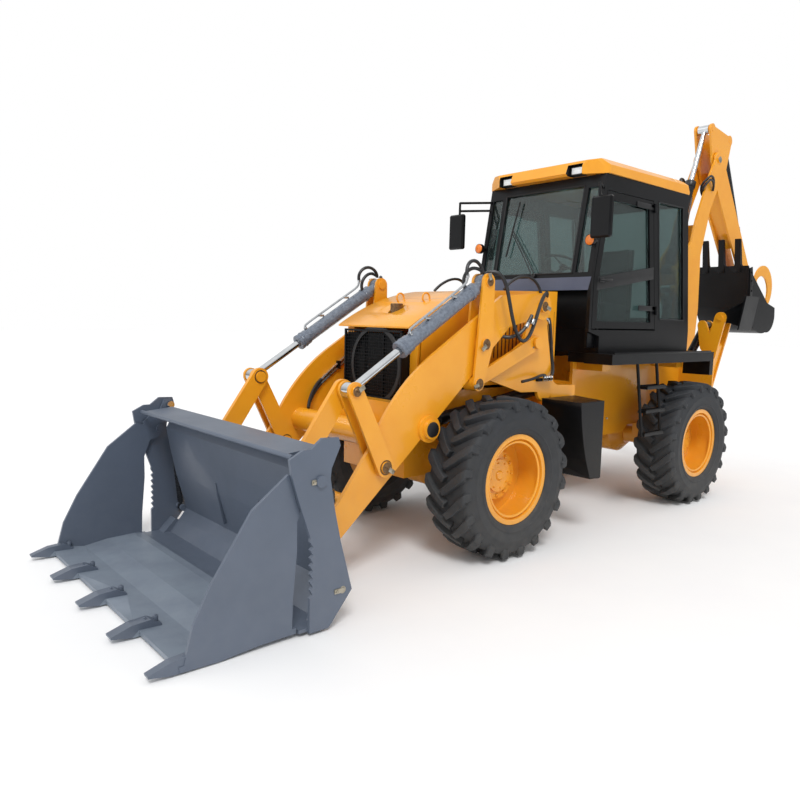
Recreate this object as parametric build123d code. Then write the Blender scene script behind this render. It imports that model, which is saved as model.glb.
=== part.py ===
"""Articulated backhoe loader: 4-in-1 loader bucket in front, cab and curled backhoe behind.

Lengths are in millimetres.  X points forward, Y to the left and Z up.  All stations below are measured
from the front axle on the ground; save() moves them so that the machine's origin is the bottom centre
of its whole length.
"""
import os
from math import cos, hypot, radians, sin, sqrt

from build123d import *

os.makedirs("parts", exist_ok=True)

# Frame and running gear
FRONT_AXLE_X = 1687.0
WHEELBASE = 2700.0
REAR_X = -WHEELBASE
TYRE_R = 587.5
TYRE_HALF = 200.0
TRACK_HALF = 785.0
RIM_R = 327.5
BEAD_R = 304.8
AXLE_Z = TYRE_R
STUB_R = 55.0
HUB_R = 190.0
HINGE_X = -WHEELBASE / 2
FIT = 0.4
SEAT_GAP = 0.3
GAP = 6.0

# Loader linkage pins (X, Z) with everything lowered
BOOM_PIVOT = (-630.0, 1832.0)
LEVER_MID = (69.0, 1542.0)
LEVER_FOOT = (124.0, 1256.0)
LEVER_TOP = (54.0, 1989.0)
LINK_ANCHOR = (BOOM_PIVOT[0] + LEVER_FOOT[0] - LEVER_MID[0], BOOM_PIVOT[1] + LEVER_FOOT[1] - LEVER_MID[1])
CRANK_PIVOT = (981.0, 744.0)
CRANK_TOP = (1236.0, 1256.0)
BUCKET_EAR = (1610.0, 715.0)
BUCKET_PIVOT = (1480.0, 270.0)
LIFT_PIN = (575.0, 960.0)
LIFT_BASE = (-757.0, 1150.0)
CLAM_PIVOT = (1788.0, 845.0)
CLAM_RAM_TOP = (1714.0, 1020.0)
CLAM_RAM_FOOT = (1634.0, 213.0)

# Stations across the loader, from the centre plane outwards
BOOM_IN, BOOM_OUT = 595.0, 625.0
INNER_PLATE = (550.0, 570.0)
OUTER_PLATE = (650.0, 670.0)
LINK_PLATE = (505.0, 540.0)
TOWER_PLATE = (545.0, 575.0)
LIFT_Y = 480.0
LIFT_HALF = 40.0
TILT_Y = (BOOM_IN + BOOM_OUT) / 2
BUCKET_HALF = 1100.0
END_PLATE = 20.0
PIN_R = 40.0
CLAM_RAM_Y = BUCKET_HALF - 70.0
CLAM_RAM_HALF = 16.5

# Front frame and hood
FRAME_IN, FRAME_OUT = 335.0, 365.0
HOOD_HALF = 420.0
HOOD_WALL = 8.0
HOOD_REAR_X = -1080.0

# Cab
CAB_HALF = 640.0
CAB_WALL = 45.0
PLATFORM_Z = 1455.0
CAB_FLOOR_Z = PLATFORM_Z + SEAT_GAP
CAB_DECK_Z = CAB_FLOOR_Z + 40
DOOR_HINGE_Y = CAB_HALF + 16
DOOR_REAR_LOW = (-2310.0, 1655.0)
DOOR_REAR_TOP = (-2150.0, 2830.0)
PLATFORM_HALF = 840.0
REAR_FRAME_IN, REAR_FRAME_OUT = 300.0, 330.0

# Backhoe pins (X, Z), folded for travel
SWING_X = -3950.0
KINGPOST_EARS = (560.0, 855.0)
KINGPOST_EAR_T = 40.0
KINGPIN_R = 44.0
BH_FOOT = (-3980.0, 1050.0)
BH_RAM_FOOT = (-3700.0, 1300.0)
BH_RAM_EYE = (-3660.0, 2120.0)
DIPPER_PIVOT = (-4400.0, 3630.0)
DIPPER_RAM_FOOT = (-3640.0, 2330.0)
DIPPER_RAM_EYE = (-4265.0, 3960.0)
BUCKET_RAM_FOOT = (-4700.0, 3900.0)
IDLER_PIVOT = (-5300.0, 2400.0)
IDLER_EYE = (-5580.0, 2300.0)
HOE_PIVOT = (-5700.0, 2090.0)
HOE_LINK = (-5990.0, 2030.0)
HOE_HALF = 330.0
RAM_HALF = 60.0
DIPPER_IN, DIPPER_OUT = 75.0, 100.0
HOE_BOOM_IN, HOE_BOOM_OUT = 108.0, 133.0

# Stabilisers, pins as (Y, Z) in the plane STAB_X
STAB_X = -3600.0
STAB_PIVOT = (420.0, 600.0)
STAB_FOOT_PIN = (690.0, 1800.0)
STAB_RAM_EYE = (500.0, 1720.0)
STAB_RAM_FOOT = (120.0, 900.0)
STAB_PIN_R = 30.0
STAB_RAM_HALF = 57.7


def save(name, *shapes):
    """Write one node: every solid of the shapes given, moved to the machine's own origin."""
    solids = [solid for shape in shapes for solid in shape.solids()]
    export_step(Pos(FRONT_AXLE_X, 0, 0) * Compound(solids), f"parts/{name}.step")


def block(x0, x1, y0, y1, z0, z1):
    """A box between two corners."""
    return Pos((x0 + x1) / 2, (y0 + y1) / 2, (z0 + z1) / 2) * Box(abs(x1 - x0), abs(y1 - y0), abs(z1 - z0))


def profile(start, *steps):
    """A closed flat outline; a step is a point (line) or a pair of points (arc through the first)."""
    edges, here = [], start
    for step in (*steps, start):
        if isinstance(step[0], tuple):
            edges.append(ThreePointArc(here, *step))
            here = step[1]
        elif step != here:
            edges.append(Line(here, step))
            here = step
    return make_face(edges)


def bar(p, rp, q, rq):
    """A flat bar's outline: two round ends and the straight edges that touch both."""
    p, q = Vector(*p), Vector(*q)
    along = (q - p).normalized()
    across = Vector(-along.Y, along.X)
    lean = (rp - rq) / (q - p).length
    left, right = (along * lean + across * s * sqrt(1 - lean * lean) for s in (1, -1))
    return make_face([
        Line(p + left * rp, q + left * rq),
        ThreePointArc(q + left * rq, q + along * rq, q + right * rq),
        Line(q + right * rq, p + right * rp),
        ThreePointArc(p + right * rp, p - along * rp, p + left * rp),
    ])


def side(face, y0, y1):
    """A plate standing fore and aft: its outline in X and Z, between two stations across."""
    return Pos(0, y1, 0) * (Plane.XZ * extrude(face, y1 - y0))


def cross(face, x0, x1):
    """A plate standing across: its outline in Y and Z, between two stations along X."""
    return Pos(x0, 0, 0) * (Plane.YZ * extrude(face, x1 - x0))


def level(face, z0, z1):
    """A plate lying level: its outline in X and Y, between two heights."""
    return Pos(0, 0, z0) * extrude(face, z1 - z0)


def pin(at, r, y0, y1):
    """A cylinder across the machine at a point in X and Z."""
    return Pos(at[0], (y0 + y1) / 2, at[1]) * Rot(90, 0, 0) * Cylinder(r, abs(y1 - y0))


def pin_x(at, r, x0, x1):
    """A cylinder along the machine at a point in Y and Z."""
    return Pos((x0 + x1) / 2, at[0], at[1]) * Rot(0, 90, 0) * Cylinder(r, abs(x1 - x0))


def post(x, y, r, z0, z1):
    """An upright cylinder."""
    return Pos(x, y, (z0 + z1) / 2) * Cylinder(r, z1 - z0)


def tube(start, end, r):
    """A round bar between two points in space."""
    start, end = Vector(*start), Vector(*end)
    axis = end - start
    return Plane(origin=start, z_dir=axis) * Cylinder(r, axis.length, align=(Align.CENTER, Align.CENTER, Align.MIN))


def mirrored(shape):
    """The same piece on the right-hand side."""
    return mirror(shape, about=Plane.XZ)


def both(*shapes):
    """Each piece and its twin across the machine."""
    return [twin for shape in shapes for twin in (shape, mirrored(shape))]


def ram(foot, eye, barrel_r, rod_r, barrel_len, tail, eye_r, half, place, neck=None):
    """A hydraulic ram drawn in its own plane; place turns (plane point, offset across) into space.

    foot and eye are its pins, barrel_len runs from the foot pin to the gland, tail is how far from the
    foot pin the rod's inner end lies, half is half the width of the eyes and neck is how far the narrow
    shank of the foot reaches before the barrel starts.
    """
    neck = neck or eye_r + 15
    length = hypot(eye[0] - foot[0], eye[1] - foot[1])
    unit = ((eye[0] - foot[0]) / length, (eye[1] - foot[1]) / length)

    def at(distance, offset=0.0):
        return place((foot[0] + unit[0] * distance, foot[1] + unit[1] * distance), offset)

    bore_start = neck + 15
    barrel = tube(at(neck), at(barrel_len), barrel_r) + tube(at(barrel_len - 70), at(barrel_len), barrel_r + 7)
    barrel += tube(at(0), at(neck + 1), min(barrel_r, half) - 4)
    barrel -= tube(at(bore_start), at(barrel_len + 1), rod_r + FIT)
    barrel += tube(at(0, -half), at(0, half), eye_r)
    rod = tube(at(max(tail, bore_start + 5)), at(length), rod_r) + tube(at(length, -half), at(length, half), eye_r)
    return barrel, rod


def in_side(y):
    """Placement of a ram in a fore-and-aft plane at station y."""
    return lambda point, offset: (point[0], y + offset, point[1])


def in_cross(x, sign):
    """Placement of a ram in a plane across the machine, on the left (1) or the right (-1)."""
    return lambda point, offset: (x + offset, sign * point[0], point[1])


# ---------------------------------------------------------------- wheels
BEAD_HALF = 150.0
FLANGE_T = 15.0
LUGS_PER_SIDE = 20
LUG_STEP = 360 / LUGS_PER_SIDE
LUG_TIP_HALF, LUG_FOOT_HALF, LUG_DEPTH = 19.0, 30.0, 42.0
LUG_LEAN = 17.0
LUG_CROSS = 8.0
CARCASS_R = TYRE_R - 27
SHOULDER_Y, SHOULDER_R = TYRE_HALF - 12, TYRE_R - 14
TREAD_SIDES = 20
LUG_RISE = cos(radians(LUG_LEAN)) * SHOULDER_R
LUG_RUN = Vector(sin(radians(LUG_LEAN)) * SHOULDER_R, SHOULDER_Y + LUG_CROSS)
# how far along the tread a lug's tip reaches each way, its corners being square to the lug
TIP_REACH = LUG_TIP_HALF * LUG_RUN.Y / LUG_RUN.length
# the two lowest lugs, one each side of the middle, meet the ground together
TIP_R = TYRE_R / cos(radians(LUG_STEP / 4) - TIP_REACH / TYRE_R)


def lug(sign):
    """One chevron lug: a straight bar from just past the middle of the tread out to a shoulder."""
    start = Vector(0, -sign * LUG_CROSS, -sqrt(TIP_R ** 2 - TIP_REACH ** 2))
    run = Vector(LUG_RUN.X, sign * SHOULDER_Y, -LUG_RISE) - start
    section = Plane(origin=start, x_dir=run.cross(Vector(0, 0, -1)), z_dir=run)
    outline = make_face(Polyline((-LUG_TIP_HALF, 0), (LUG_TIP_HALF, 0), (LUG_FOOT_HALF, LUG_DEPTH),
                                 (-LUG_FOOT_HALF, LUG_DEPTH), close=True))
    return extrude(section * outline, run.length)


def drum(*stations):
    """A closed flat-sided ring about Y whose section goes round the (radius of its flats, station across) pairs."""
    turns = [radians(360 * (k + 0.5) / TREAD_SIDES) for k in range(TREAD_SIDES)]
    grow = 1 / cos(radians(180 / TREAD_SIDES))
    loops = [[Vector(r * grow * sin(t), y, -r * grow * cos(t)) for t in turns] for r, y in stations]
    flats = []
    for near, far in zip(loops, loops[1:] + loops[:1]):
        for k in range(TREAD_SIDES):
            flats.append(make_face(Polyline(near[k - 1], near[k], far[k], far[k - 1], close=True)))
    return Solid(Shell(flats))


def tread_tyre():
    """The tyre round its own centre, standing on its two lowest lugs."""
    half = BEAD_HALF + FLANGE_T
    carcass = drum(
        (BEAD_R, -BEAD_HALF), (RIM_R, -BEAD_HALF), (RIM_R + 1, -half), (460, -TYRE_HALF),
        (CARCASS_R, -TYRE_HALF + 32), (CARCASS_R, TYRE_HALF - 32), (460, TYRE_HALF), (RIM_R + 1, half), (RIM_R, BEAD_HALF),
        (BEAD_R, BEAD_HALF))
    lugs = [Rot(0, -sign * LUG_STEP / 4 - turn * LUG_STEP, 0) * lug(sign) for sign in (1, -1) for turn in range(LUGS_PER_SIDE)]
    return carcass + lugs


TYRE = tread_tyre()


def wheel(x, sign):
    """Tyre and rim of one wheel; sign is 1 on the left."""
    y = sign * TRACK_HALF
    rim_section = profile(
        (STUB_R + FIT, -145), (HUB_R, -145), (HUB_R, -73), (265, -73), (276, -BEAD_HALF - FLANGE_T),
        (RIM_R, -BEAD_HALF - FLANGE_T), (RIM_R, -BEAD_HALF), (BEAD_R, -BEAD_HALF), (BEAD_R, BEAD_HALF),
        (RIM_R, BEAD_HALF), (RIM_R, BEAD_HALF + FLANGE_T), (292, BEAD_HALF + FLANGE_T), (284, -55),
        (HUB_R, -55), (HUB_R - 12, -15), (120, -15), (120, 5), (0, 5), (0, -35), (STUB_R + FIT, -35),
    )
    turn = Pos(x, y, AXLE_Z) * Rot(-90 * sign, 0, 0)
    return Pos(x, y, AXLE_Z) * TYRE, turn * revolve(Rot(90, 0, 0) * rim_section, Axis.Z)


for place, x in (("front", 0.0), ("rear", REAR_X)):
    for hand, sign in (("left", 1), ("right", -1)):
        tyre, rim = wheel(x, sign)
        save(f"tyre_{place}_{hand}", tyre)
        save(f"rim_{place}_{hand}", rim)

STUB_END = TRACK_HALF - 37
TUBE_R = 92.0


def axle(x, nose):
    """A drive axle: bowl, tapered arms, flanges, stubs and the drive input on the side given by nose."""
    bowl = Pos(x, 0, AXLE_Z) * Rot(90, 0, 0) * revolve(Rot(90, 0, 0) * profile(
        (0, -190), (110, -190), (205, -90), (205, 90), (110, 190), (0, 190)), Axis.Z)
    body = bowl + pin((x, AXLE_Z), TUBE_R, -560, 560) + pin((x, AXLE_Z), STUB_R, -STUB_END, STUB_END)
    for sign in (1, -1):
        body += pin((x, AXLE_Z), 160, sign * 560, sign * 620)
        body += block(x - 110, x + 110, sign * (FRAME_IN - 30), sign * (FRAME_OUT + 30), AXLE_Z, AXLE_Z + 125)
    return body + pin_x((0, AXLE_Z), 70, x, x + nose * 330)


save("front_axle", axle(0.0, -1))
save("rear_axle", axle(REAR_X, 1))

# ---------------------------------------------------------------- front frame
PAD_TOP = AXLE_Z + 125
frame_outline = profile(
    (500, 1180), (560, 1120), (560, 700), ((530, 600), (430, 560)), (300, 560), (170, PAD_TOP),
    (-170, PAD_TOP), (-260, 620), (-1000, 620), (-1150, 700), (-1150, 1120), (-1080, 1180),
)
front_frame = side(frame_outline, FRAME_IN, FRAME_OUT)
front_frame += mirrored(front_frame)
NOSE_HALF = 397.0
front_frame += block(560, 690, -NOSE_HALF, NOSE_HALF, 950, 1120) + block(480, 560, -FRAME_OUT, FRAME_OUT, 560, 1120)
front_frame += block(-1150, -1110, -FRAME_OUT, FRAME_OUT, 660, 1160)
front_frame += block(-260, -220, -FRAME_IN, FRAME_IN, 760, 880)
EAR_T = 35.0
EARS = (690.0, 1090.0)
PIVOT_R = 42.0


def hinge_ear(root_x, z):
    """A tapered hinge ear, lying level, from a cross plate to the vertical pivot."""
    return level(profile((root_x, -230), (HINGE_X, -95), (HINGE_X, 95), (root_x, 230)), z, z + EAR_T) + post(
        HINGE_X, 0, 95, z, z + EAR_T)


for z in EARS:
    front_frame += hinge_ear(-1120, z)
    front_frame -= post(HINGE_X, 0, PIVOT_R + FIT, z - 1, z + EAR_T + 1)
for sign in (1, -1):
    tower = profile(
        (BOOM_PIVOT[0] + 40, BOOM_PIVOT[1] + 90), ((BOOM_PIVOT[0] - 40, BOOM_PIVOT[1] + 90),
                                                   (BOOM_PIVOT[0] - 98, BOOM_PIVOT[1])),
        (-841, 1303), ((-880, 1225), (-950, 1195)), (-1180, 1185), (-1180, 985), (-850, 985),
        (-850, 1120), (LIFT_BASE[0] - 60, 1080), ((LIFT_BASE[0], 1066), (LIFT_BASE[0] + 84, 1150)),
        (-469, 1156), (-77, 1270), (-77, 1320), (LINK_ANCHOR[0] + 95, LINK_ANCHOR[1] + 10),
        (BOOM_PIVOT[0] + 98, BOOM_PIVOT[1]),
    )
    y0, y1 = sorted((sign * TOWER_PLATE[0], sign * TOWER_PLATE[1]))
    front_frame += side(tower, y0, y1)
    inner = sorted((sign * FRAME_OUT, sign * (FRAME_OUT + 45)))
    front_frame += side(profile((-900, 985), (-900, 1180), (LIFT_BASE[0] + 80, 1180), (LIFT_BASE[0] + 80, 985)), *inner)
    front_frame += block(-1180, -850, sign * FRAME_OUT, sign * TOWER_PLATE[1], 960, 990)
    front_frame += block(-1180, -1140, sign * FRAME_OUT, sign * TOWER_PLATE[1], 960, 1185)
    front_frame += pin(LIFT_BASE, 50, sign * (LIFT_Y + LIFT_HALF + SEAT_GAP), sign * TOWER_PLATE[0])
    front_frame += pin(LIFT_BASE, 50, sign * (LIFT_Y - LIFT_HALF - SEAT_GAP), sign * FRAME_OUT)
    for at, reach in ((BOOM_PIVOT, OUTER_PLATE[0]), (LINK_ANCHOR, BOOM_OUT + 25)):
        front_frame += pin(at, PIN_R, sign * TOWER_PLATE[0], sign * reach)
        front_frame += pin(at, PIN_R + 18, sign * (TOWER_PLATE[0] - 20), sign * TOWER_PLATE[0])
        front_frame += pin(at, PIN_R + 6, sign * (BOOM_OUT + 5), sign * reach)
save("front_frame", front_frame)

engine = block(-950, -280, -250, 250, 800, 1600)
for x in (-900, -380):
    engine += block(x, x + 60, -FRAME_IN + SEAT_GAP, FRAME_IN - SEAT_GAP, 900, 940)
radiator = block(440, 560, -330, 330, 1120, 1600) + block(440, 500 - SEAT_GAP, -335 + SEAT_GAP, 335 - SEAT_GAP, 1300, 1360)
for z in range(1145, 1600, 32):
    radiator += block(560, 572, -330, 330, z, z + 8)
for y in (-330, -110, 110, 318):
    radiator += block(560, 574, y, y + 12, 1130, 1590)
save("engine_radiator", engine, radiator)

VISOR_X = 590.0
hood_top = ((VISOR_X, 1655), ((190, 1850), (-211, 1943)), (HOOD_REAR_X, 1970))
HOOD_LOW = 1210.0
hood_skin = profile(
    (470, HOOD_LOW), (470, 1640), (VISOR_X, 1643), hood_top[0], hood_top[1], hood_top[2], (HOOD_REAR_X, HOOD_LOW))
hood = side(hood_skin, -HOOD_HALF, HOOD_HALF)
hood -= side(profile(
    (500, 1100), (500, 1625), ((150, 1835), (-211, 1930)), (HOOD_REAR_X + HOOD_WALL, 1955),
    (HOOD_REAR_X + HOOD_WALL, 1100)), -HOOD_HALF + HOOD_WALL, HOOD_HALF - HOOD_WALL)
hood -= Pos(350, 0, 1800) * extrude(Ellipse(75, 50), 200, both=True)
hood += block(480, 500, -HOOD_HALF + 4, -335, HOOD_LOW, 1640) + block(480, 500, 335, HOOD_HALF - 4, HOOD_LOW, 1640)
for y in (-150, 150):
    hood += Pos(187, y, 1875) * Rot(90, 0, 0) * (Torus(36, 7))
save("hood", hood)

TANK_OUT = 980.0
tank_outline = profile(
    (-700, 1100), ((-728, 900), (-800, 640)), (-870, 480), (-1000, 471), (-1150, 560), (-1150, 1100))
tank = side(tank_outline, 460, TANK_OUT)
tank -= level(profile((-1013, TANK_OUT + 1), (-1160, 560), (-1160, TANK_OUT + 1)), 400, 1200)
tank -= block(-1160, -600, 450, 600, 940, 1200)
tank_arm = block(-1100, -900, FRAME_OUT, 460, 700, 780)
save("side_tanks", *both(tank + tank_arm))

# ---------------------------------------------------------------- loader boom
boom_outline = profile(
    (BOOM_PIVOT[0], BOOM_PIVOT[1] + 105), (-150, 1900), (560, 1460), ((858, 1207), (1073, 885)), (1322, 551),
    (BUCKET_PIVOT[0] + 62, BUCKET_PIVOT[1] + 48),
    ((BUCKET_PIVOT[0] + 56, BUCKET_PIVOT[1] - 55), (BUCKET_PIVOT[0] - 55, BUCKET_PIVOT[1] - 55)),
    (620, 910), (126, 1338), (-27, 1481), (-240, 1667), (-560, 1740),
    (BOOM_PIVOT[0], BOOM_PIVOT[1] - 105), ((BOOM_PIVOT[0] - 105, BOOM_PIVOT[1]), (BOOM_PIVOT[0], BOOM_PIVOT[1] + 105)),
)
boom_plate = side(boom_outline, BOOM_IN, BOOM_OUT)
for at, r in ((BOOM_PIVOT, PIN_R), (BUCKET_PIVOT, PIN_R)):
    boom_plate -= pin(at, r + FIT, BOOM_IN - 1, BOOM_OUT + 1)
for at in (LEVER_MID, CRANK_PIVOT):
    boom_plate += pin(at, PIN_R, INNER_PLATE[0] - 12, OUTER_PLATE[1] + 12)
    boom_plate += pin(at, PIN_R + 22, INNER_PLATE[1] + 2, OUTER_PLATE[0] - 2)
boom_plate += pin(LIFT_PIN, 55, LIFT_Y + LIFT_HALF + SEAT_GAP, BOOM_IN)
boom_plate += pin(LIFT_PIN, 95, BOOM_OUT, BOOM_OUT + 22) + pin(LIFT_PIN, 68, BOOM_OUT, BOOM_OUT + 50)
loader_boom = boom_plate + mirrored(boom_plate)
UPPER_TUBE, LOWER_TUBE = (820.0, 900.0), (1176.0, 503.0)
loader_boom += pin(UPPER_TUBE, 90, -BOOM_IN, BOOM_IN) + pin(LOWER_TUBE, 52, -BOOM_IN, BOOM_IN)
save("loader_boom", loader_boom)

lift_barrel, lift_rod = ram(LIFT_BASE, LIFT_PIN, 45, 28, 1120, 120, 48, LIFT_HALF, in_side(LIFT_Y))
save("lift_barrels", *both(lift_barrel))
save("lift_rods", *both(lift_rod))

lever_half = []
for y0, y1 in (INNER_PLATE, OUTER_PLATE):
    plate = side(bar(LEVER_MID, 82, LEVER_TOP, 60), y0, y1) + side(bar(LEVER_MID, 82, LEVER_FOOT, 54), y0, y1)
    plate -= pin(LEVER_MID, PIN_R + FIT, y0 - 1, y1 + 1)
    lever_half.append(plate)
foot_pin = pin(LEVER_FOOT, PIN_R, INNER_PLATE[0] - 8, OUTER_PLATE[1] + 8)
lever = lever_half[0] + lever_half[1] + foot_pin
lever += pin(LEVER_FOOT, 52, INNER_PLATE[1], BOOM_IN - 2) + pin(LEVER_FOOT, 52, BOOM_OUT + 2, OUTER_PLATE[0])
for y0, y1 in ((INNER_PLATE[0] - 10, INNER_PLATE[0]), (OUTER_PLATE[1], OUTER_PLATE[1] + 12)):
    lever += pin(LEVER_TOP, 34, y0, y1)
save("levelling_levers", *both(lever))

link = side(bar(LEVER_FOOT, 46, LINK_ANCHOR, 58), BOOM_IN, BOOM_OUT)
for at in (LEVER_FOOT, LINK_ANCHOR):
    link -= pin(at, PIN_R + FIT, BOOM_IN - 1, BOOM_OUT + 1)
save("levelling_links", *both(link))

TILT_HALF = (OUTER_PLATE[0] - INNER_PLATE[1]) / 2 - SEAT_GAP
SLEEVE_R = 30.0
tilt_pin = pin(LEVER_TOP, SLEEVE_R, TILT_Y - TILT_HALF, TILT_Y + TILT_HALF)
save("tilt_base_pins", *both(tilt_pin))
tilt_barrel, tilt_rod = ram(LEVER_TOP, CRANK_TOP, 52, 27, 900, 500, 52, TILT_HALF, in_side(TILT_Y), 110)
tilt_barrel -= pin(LEVER_TOP, SLEEVE_R + FIT, TILT_Y - 90, TILT_Y + 90)
save("tilt_barrels", *both(tilt_barrel))
save("tilt_rods", *both(tilt_rod))

CRANK_SLEEVE_R = 50.0
bush = [pin(CRANK_PIVOT, CRANK_SLEEVE_R, y0, y1) - pin(CRANK_PIVOT, PIN_R + FIT, y0 - 1, y1 + 1)
        for y0, y1 in (INNER_PLATE, OUTER_PLATE)]
save("bell_crank_pins", *both(*bush))
crank = side(bar(CRANK_TOP, 58, CRANK_PIVOT, 66), *INNER_PLATE) + side(bar(CRANK_TOP, 58, CRANK_PIVOT, 66), *OUTER_PLATE)
crank -= pin(CRANK_PIVOT, CRANK_SLEEVE_R + FIT, INNER_PLATE[0] - 1, OUTER_PLATE[1] + 1)
crank_pin = pin(CRANK_TOP, PIN_R, LINK_PLATE[0] - 14, INNER_PLATE[1])
crank_outer_pin = pin(CRANK_TOP, PIN_R - 6, OUTER_PLATE[1], OUTER_PLATE[1] + 14)
save("bell_cranks", *both(crank + crank_pin + crank_outer_pin))
link_bush = pin(CRANK_TOP, CRANK_SLEEVE_R, *LINK_PLATE) - pin(CRANK_TOP, PIN_R + FIT, LINK_PLATE[0] - 1, LINK_PLATE[1] + 1)
save("link_pins", *both(link_bush))
bucket_link = side(bar(CRANK_TOP, 66, BUCKET_EAR, 72), *LINK_PLATE)
bucket_link -= pin(CRANK_TOP, CRANK_SLEEVE_R + FIT, LINK_PLATE[0] - 1, LINK_PLATE[1] + 1)
save("bucket_links", *both(bucket_link))
tip_pin = pin(BUCKET_PIVOT, PIN_R, INNER_PLATE[0] - 10, OUTER_PLATE[1] + 10)
save("boom_tip_pins", *both(tip_pin))

# ---------------------------------------------------------------- 4-in-1 loader bucket
BLADE_HALF = CLAM_RAM_Y - 45.0
CLAM_OUT = BUCKET_HALF - END_PLATE - 12.0
blade_back = profile(
    (1931, 989), (1716, 1010), (1684, 952), (1745, 850), (1712, 671), (1672, 496), (1592, 203), (1732, 24), (1906, 24),
    (1906, 44), (1745, 44), (1614, 208), (1692, 490), (1732, 668), (1766, 852), (1720, 945), (1728, 985), (1928, 965),
)
blade = side(blade_back, -BLADE_HALF, BLADE_HALF)
NOTCHES = range(230, 530, 44)
end_outline = profile(
    (1980, 980), (1896, 1023), (1847, 1023), (1779, 1075), (1675, 1071), (1661, 1026), (1718, 906), (1724, 852),
    (1692, 671), (1652, 496), (1571, 203), (1725, 18), (1851, 18), (1851, 214),
    *(corner for z in NOTCHES for corner in ((1832, z), (1850, z + 30))), (1848, 545), (1924, 758), (1967, 897))
bucket_end = side(end_outline, BUCKET_HALF - END_PLATE, BUCKET_HALF)
bucket_end += side(profile((1650, 110), (1732, 24), (1906, 24), (1906, 44), (1800, 44), (1700, 140)),
                   BLADE_HALF, BUCKET_HALF - END_PLATE)
bucket_end += pin(CLAM_RAM_FOOT, 26, CLAM_RAM_Y + CLAM_RAM_HALF + SEAT_GAP, BUCKET_HALF - END_PLATE)
bucket_end += pin(CLAM_RAM_FOOT, 26, BLADE_HALF, CLAM_RAM_Y - CLAM_RAM_HALF - SEAT_GAP)
bucket_end += pin(CLAM_PIVOT, PIN_R - 8, BUCKET_HALF - 65, BUCKET_HALF + 14)
loader_bucket = blade + bucket_end + mirrored(bucket_end)
ear = profile(
    (BUCKET_PIVOT[0] - 52, BUCKET_PIVOT[1] - 52), ((BUCKET_PIVOT[0] - 70, BUCKET_PIVOT[1] + 10),
                                                   (BUCKET_PIVOT[0] - 52, BUCKET_PIVOT[1] + 52)),
    (BUCKET_EAR[0] - 68, BUCKET_EAR[1]), ((BUCKET_EAR[0], BUCKET_EAR[1] + 68), (BUCKET_EAR[0] + 60, BUCKET_EAR[1] + 32)),
    (1722, 730), (1712, 671), (1672, 496), (1592, 203), (1620, 170), (BUCKET_PIVOT[0] + 20, BUCKET_PIVOT[1] - 72))
tip_ear = profile(
    (BUCKET_PIVOT[0] - 52, BUCKET_PIVOT[1] - 52), ((BUCKET_PIVOT[0] - 70, BUCKET_PIVOT[1] + 10),
                                                   (BUCKET_PIVOT[0] - 40, BUCKET_PIVOT[1] + 60)),
    (1680, 520), (1592, 203), (1620, 170), (BUCKET_PIVOT[0] + 20, BUCKET_PIVOT[1] - 72))
link_ear = profile(
    (BUCKET_EAR[0] - 60, BUCKET_EAR[1] - 32), ((BUCKET_EAR[0] - 48, BUCKET_EAR[1] + 48),
                                               (BUCKET_EAR[0] + 32, BUCKET_EAR[1] + 60)),
    (1728, 750), (1712, 671), (1672, 496))
ears = side(ear, INNER_PLATE[0] - 3, INNER_PLATE[1]) + side(tip_ear, *OUTER_PLATE)
ears += side(link_ear, LINK_PLATE[0] - 28, LINK_PLATE[0] - 3)
ears -= pin(BUCKET_PIVOT, PIN_R + FIT, INNER_PLATE[0] - 10, OUTER_PLATE[1] + 10)
ears += pin(BUCKET_EAR, PIN_R, LINK_PLATE[0] - 40, LINK_PLATE[0] - 3) + pin(BUCKET_EAR, PIN_R, *INNER_PLATE)
save("loader_bucket", loader_bucket + ears + mirrored(ears))

clam_floor = profile(
    (1914, 26), (2135, 23), (2357, 6), (2560, 12), (2565, 44), (2357, 34), (2200, 58), (2000, 64), (1914, 56))
clam = side(clam_floor, -CLAM_OUT, CLAM_OUT)
clam_cheek = profile(
    (1967, 897), (2175, 740), (2396, 410), (2492, 225), (2540, 44), (2357, 20), (2135, 30), (1940, 50), (1935, 214),
    (1912, 480), (1912, 880))
clam_arm = profile(
    (1912, 640), (1912, 900), (1867, 940), (1800, 950), (1750, 1062), (1700, 1062), (1672, 1010), (1745, 860),
    (1745, 820), (1800, 780), (1867, 760))
cheek = side(clam_cheek, CLAM_OUT - 20, CLAM_OUT) + side(clam_arm, CLAM_OUT - 20, CLAM_OUT)
cheek -= pin(CLAM_PIVOT, PIN_R - 8 + FIT, 1000, 1090)
cheek += pin(CLAM_RAM_TOP, 22, CLAM_RAM_Y + CLAM_RAM_HALF + SEAT_GAP, CLAM_OUT - 20)
clam += cheek + mirrored(cheek)
TEETH = (-1050, -525, 0, 525, 1050)
TOOTH_HALF = 36.0
for y in TEETH:
    tooth = profile((2440, 6), (2600, 10), (2710, 30), (2712, 42), (2600, 78), (2500, 84), (2440, 50))
    clam += side(tooth, y - TOOTH_HALF if y > -1000 else y - 14, y + TOOTH_HALF if y < 1000 else y + 14)
save("bucket_clam", clam)

clam_barrel, clam_rod = ram(CLAM_RAM_FOOT, CLAM_RAM_TOP, 26, 16, 560, 300, 28, CLAM_RAM_HALF, in_side(CLAM_RAM_Y))
save("clam_ram_barrels", *both(clam_barrel))
save("clam_ram_rods", *both(clam_rod))

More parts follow.
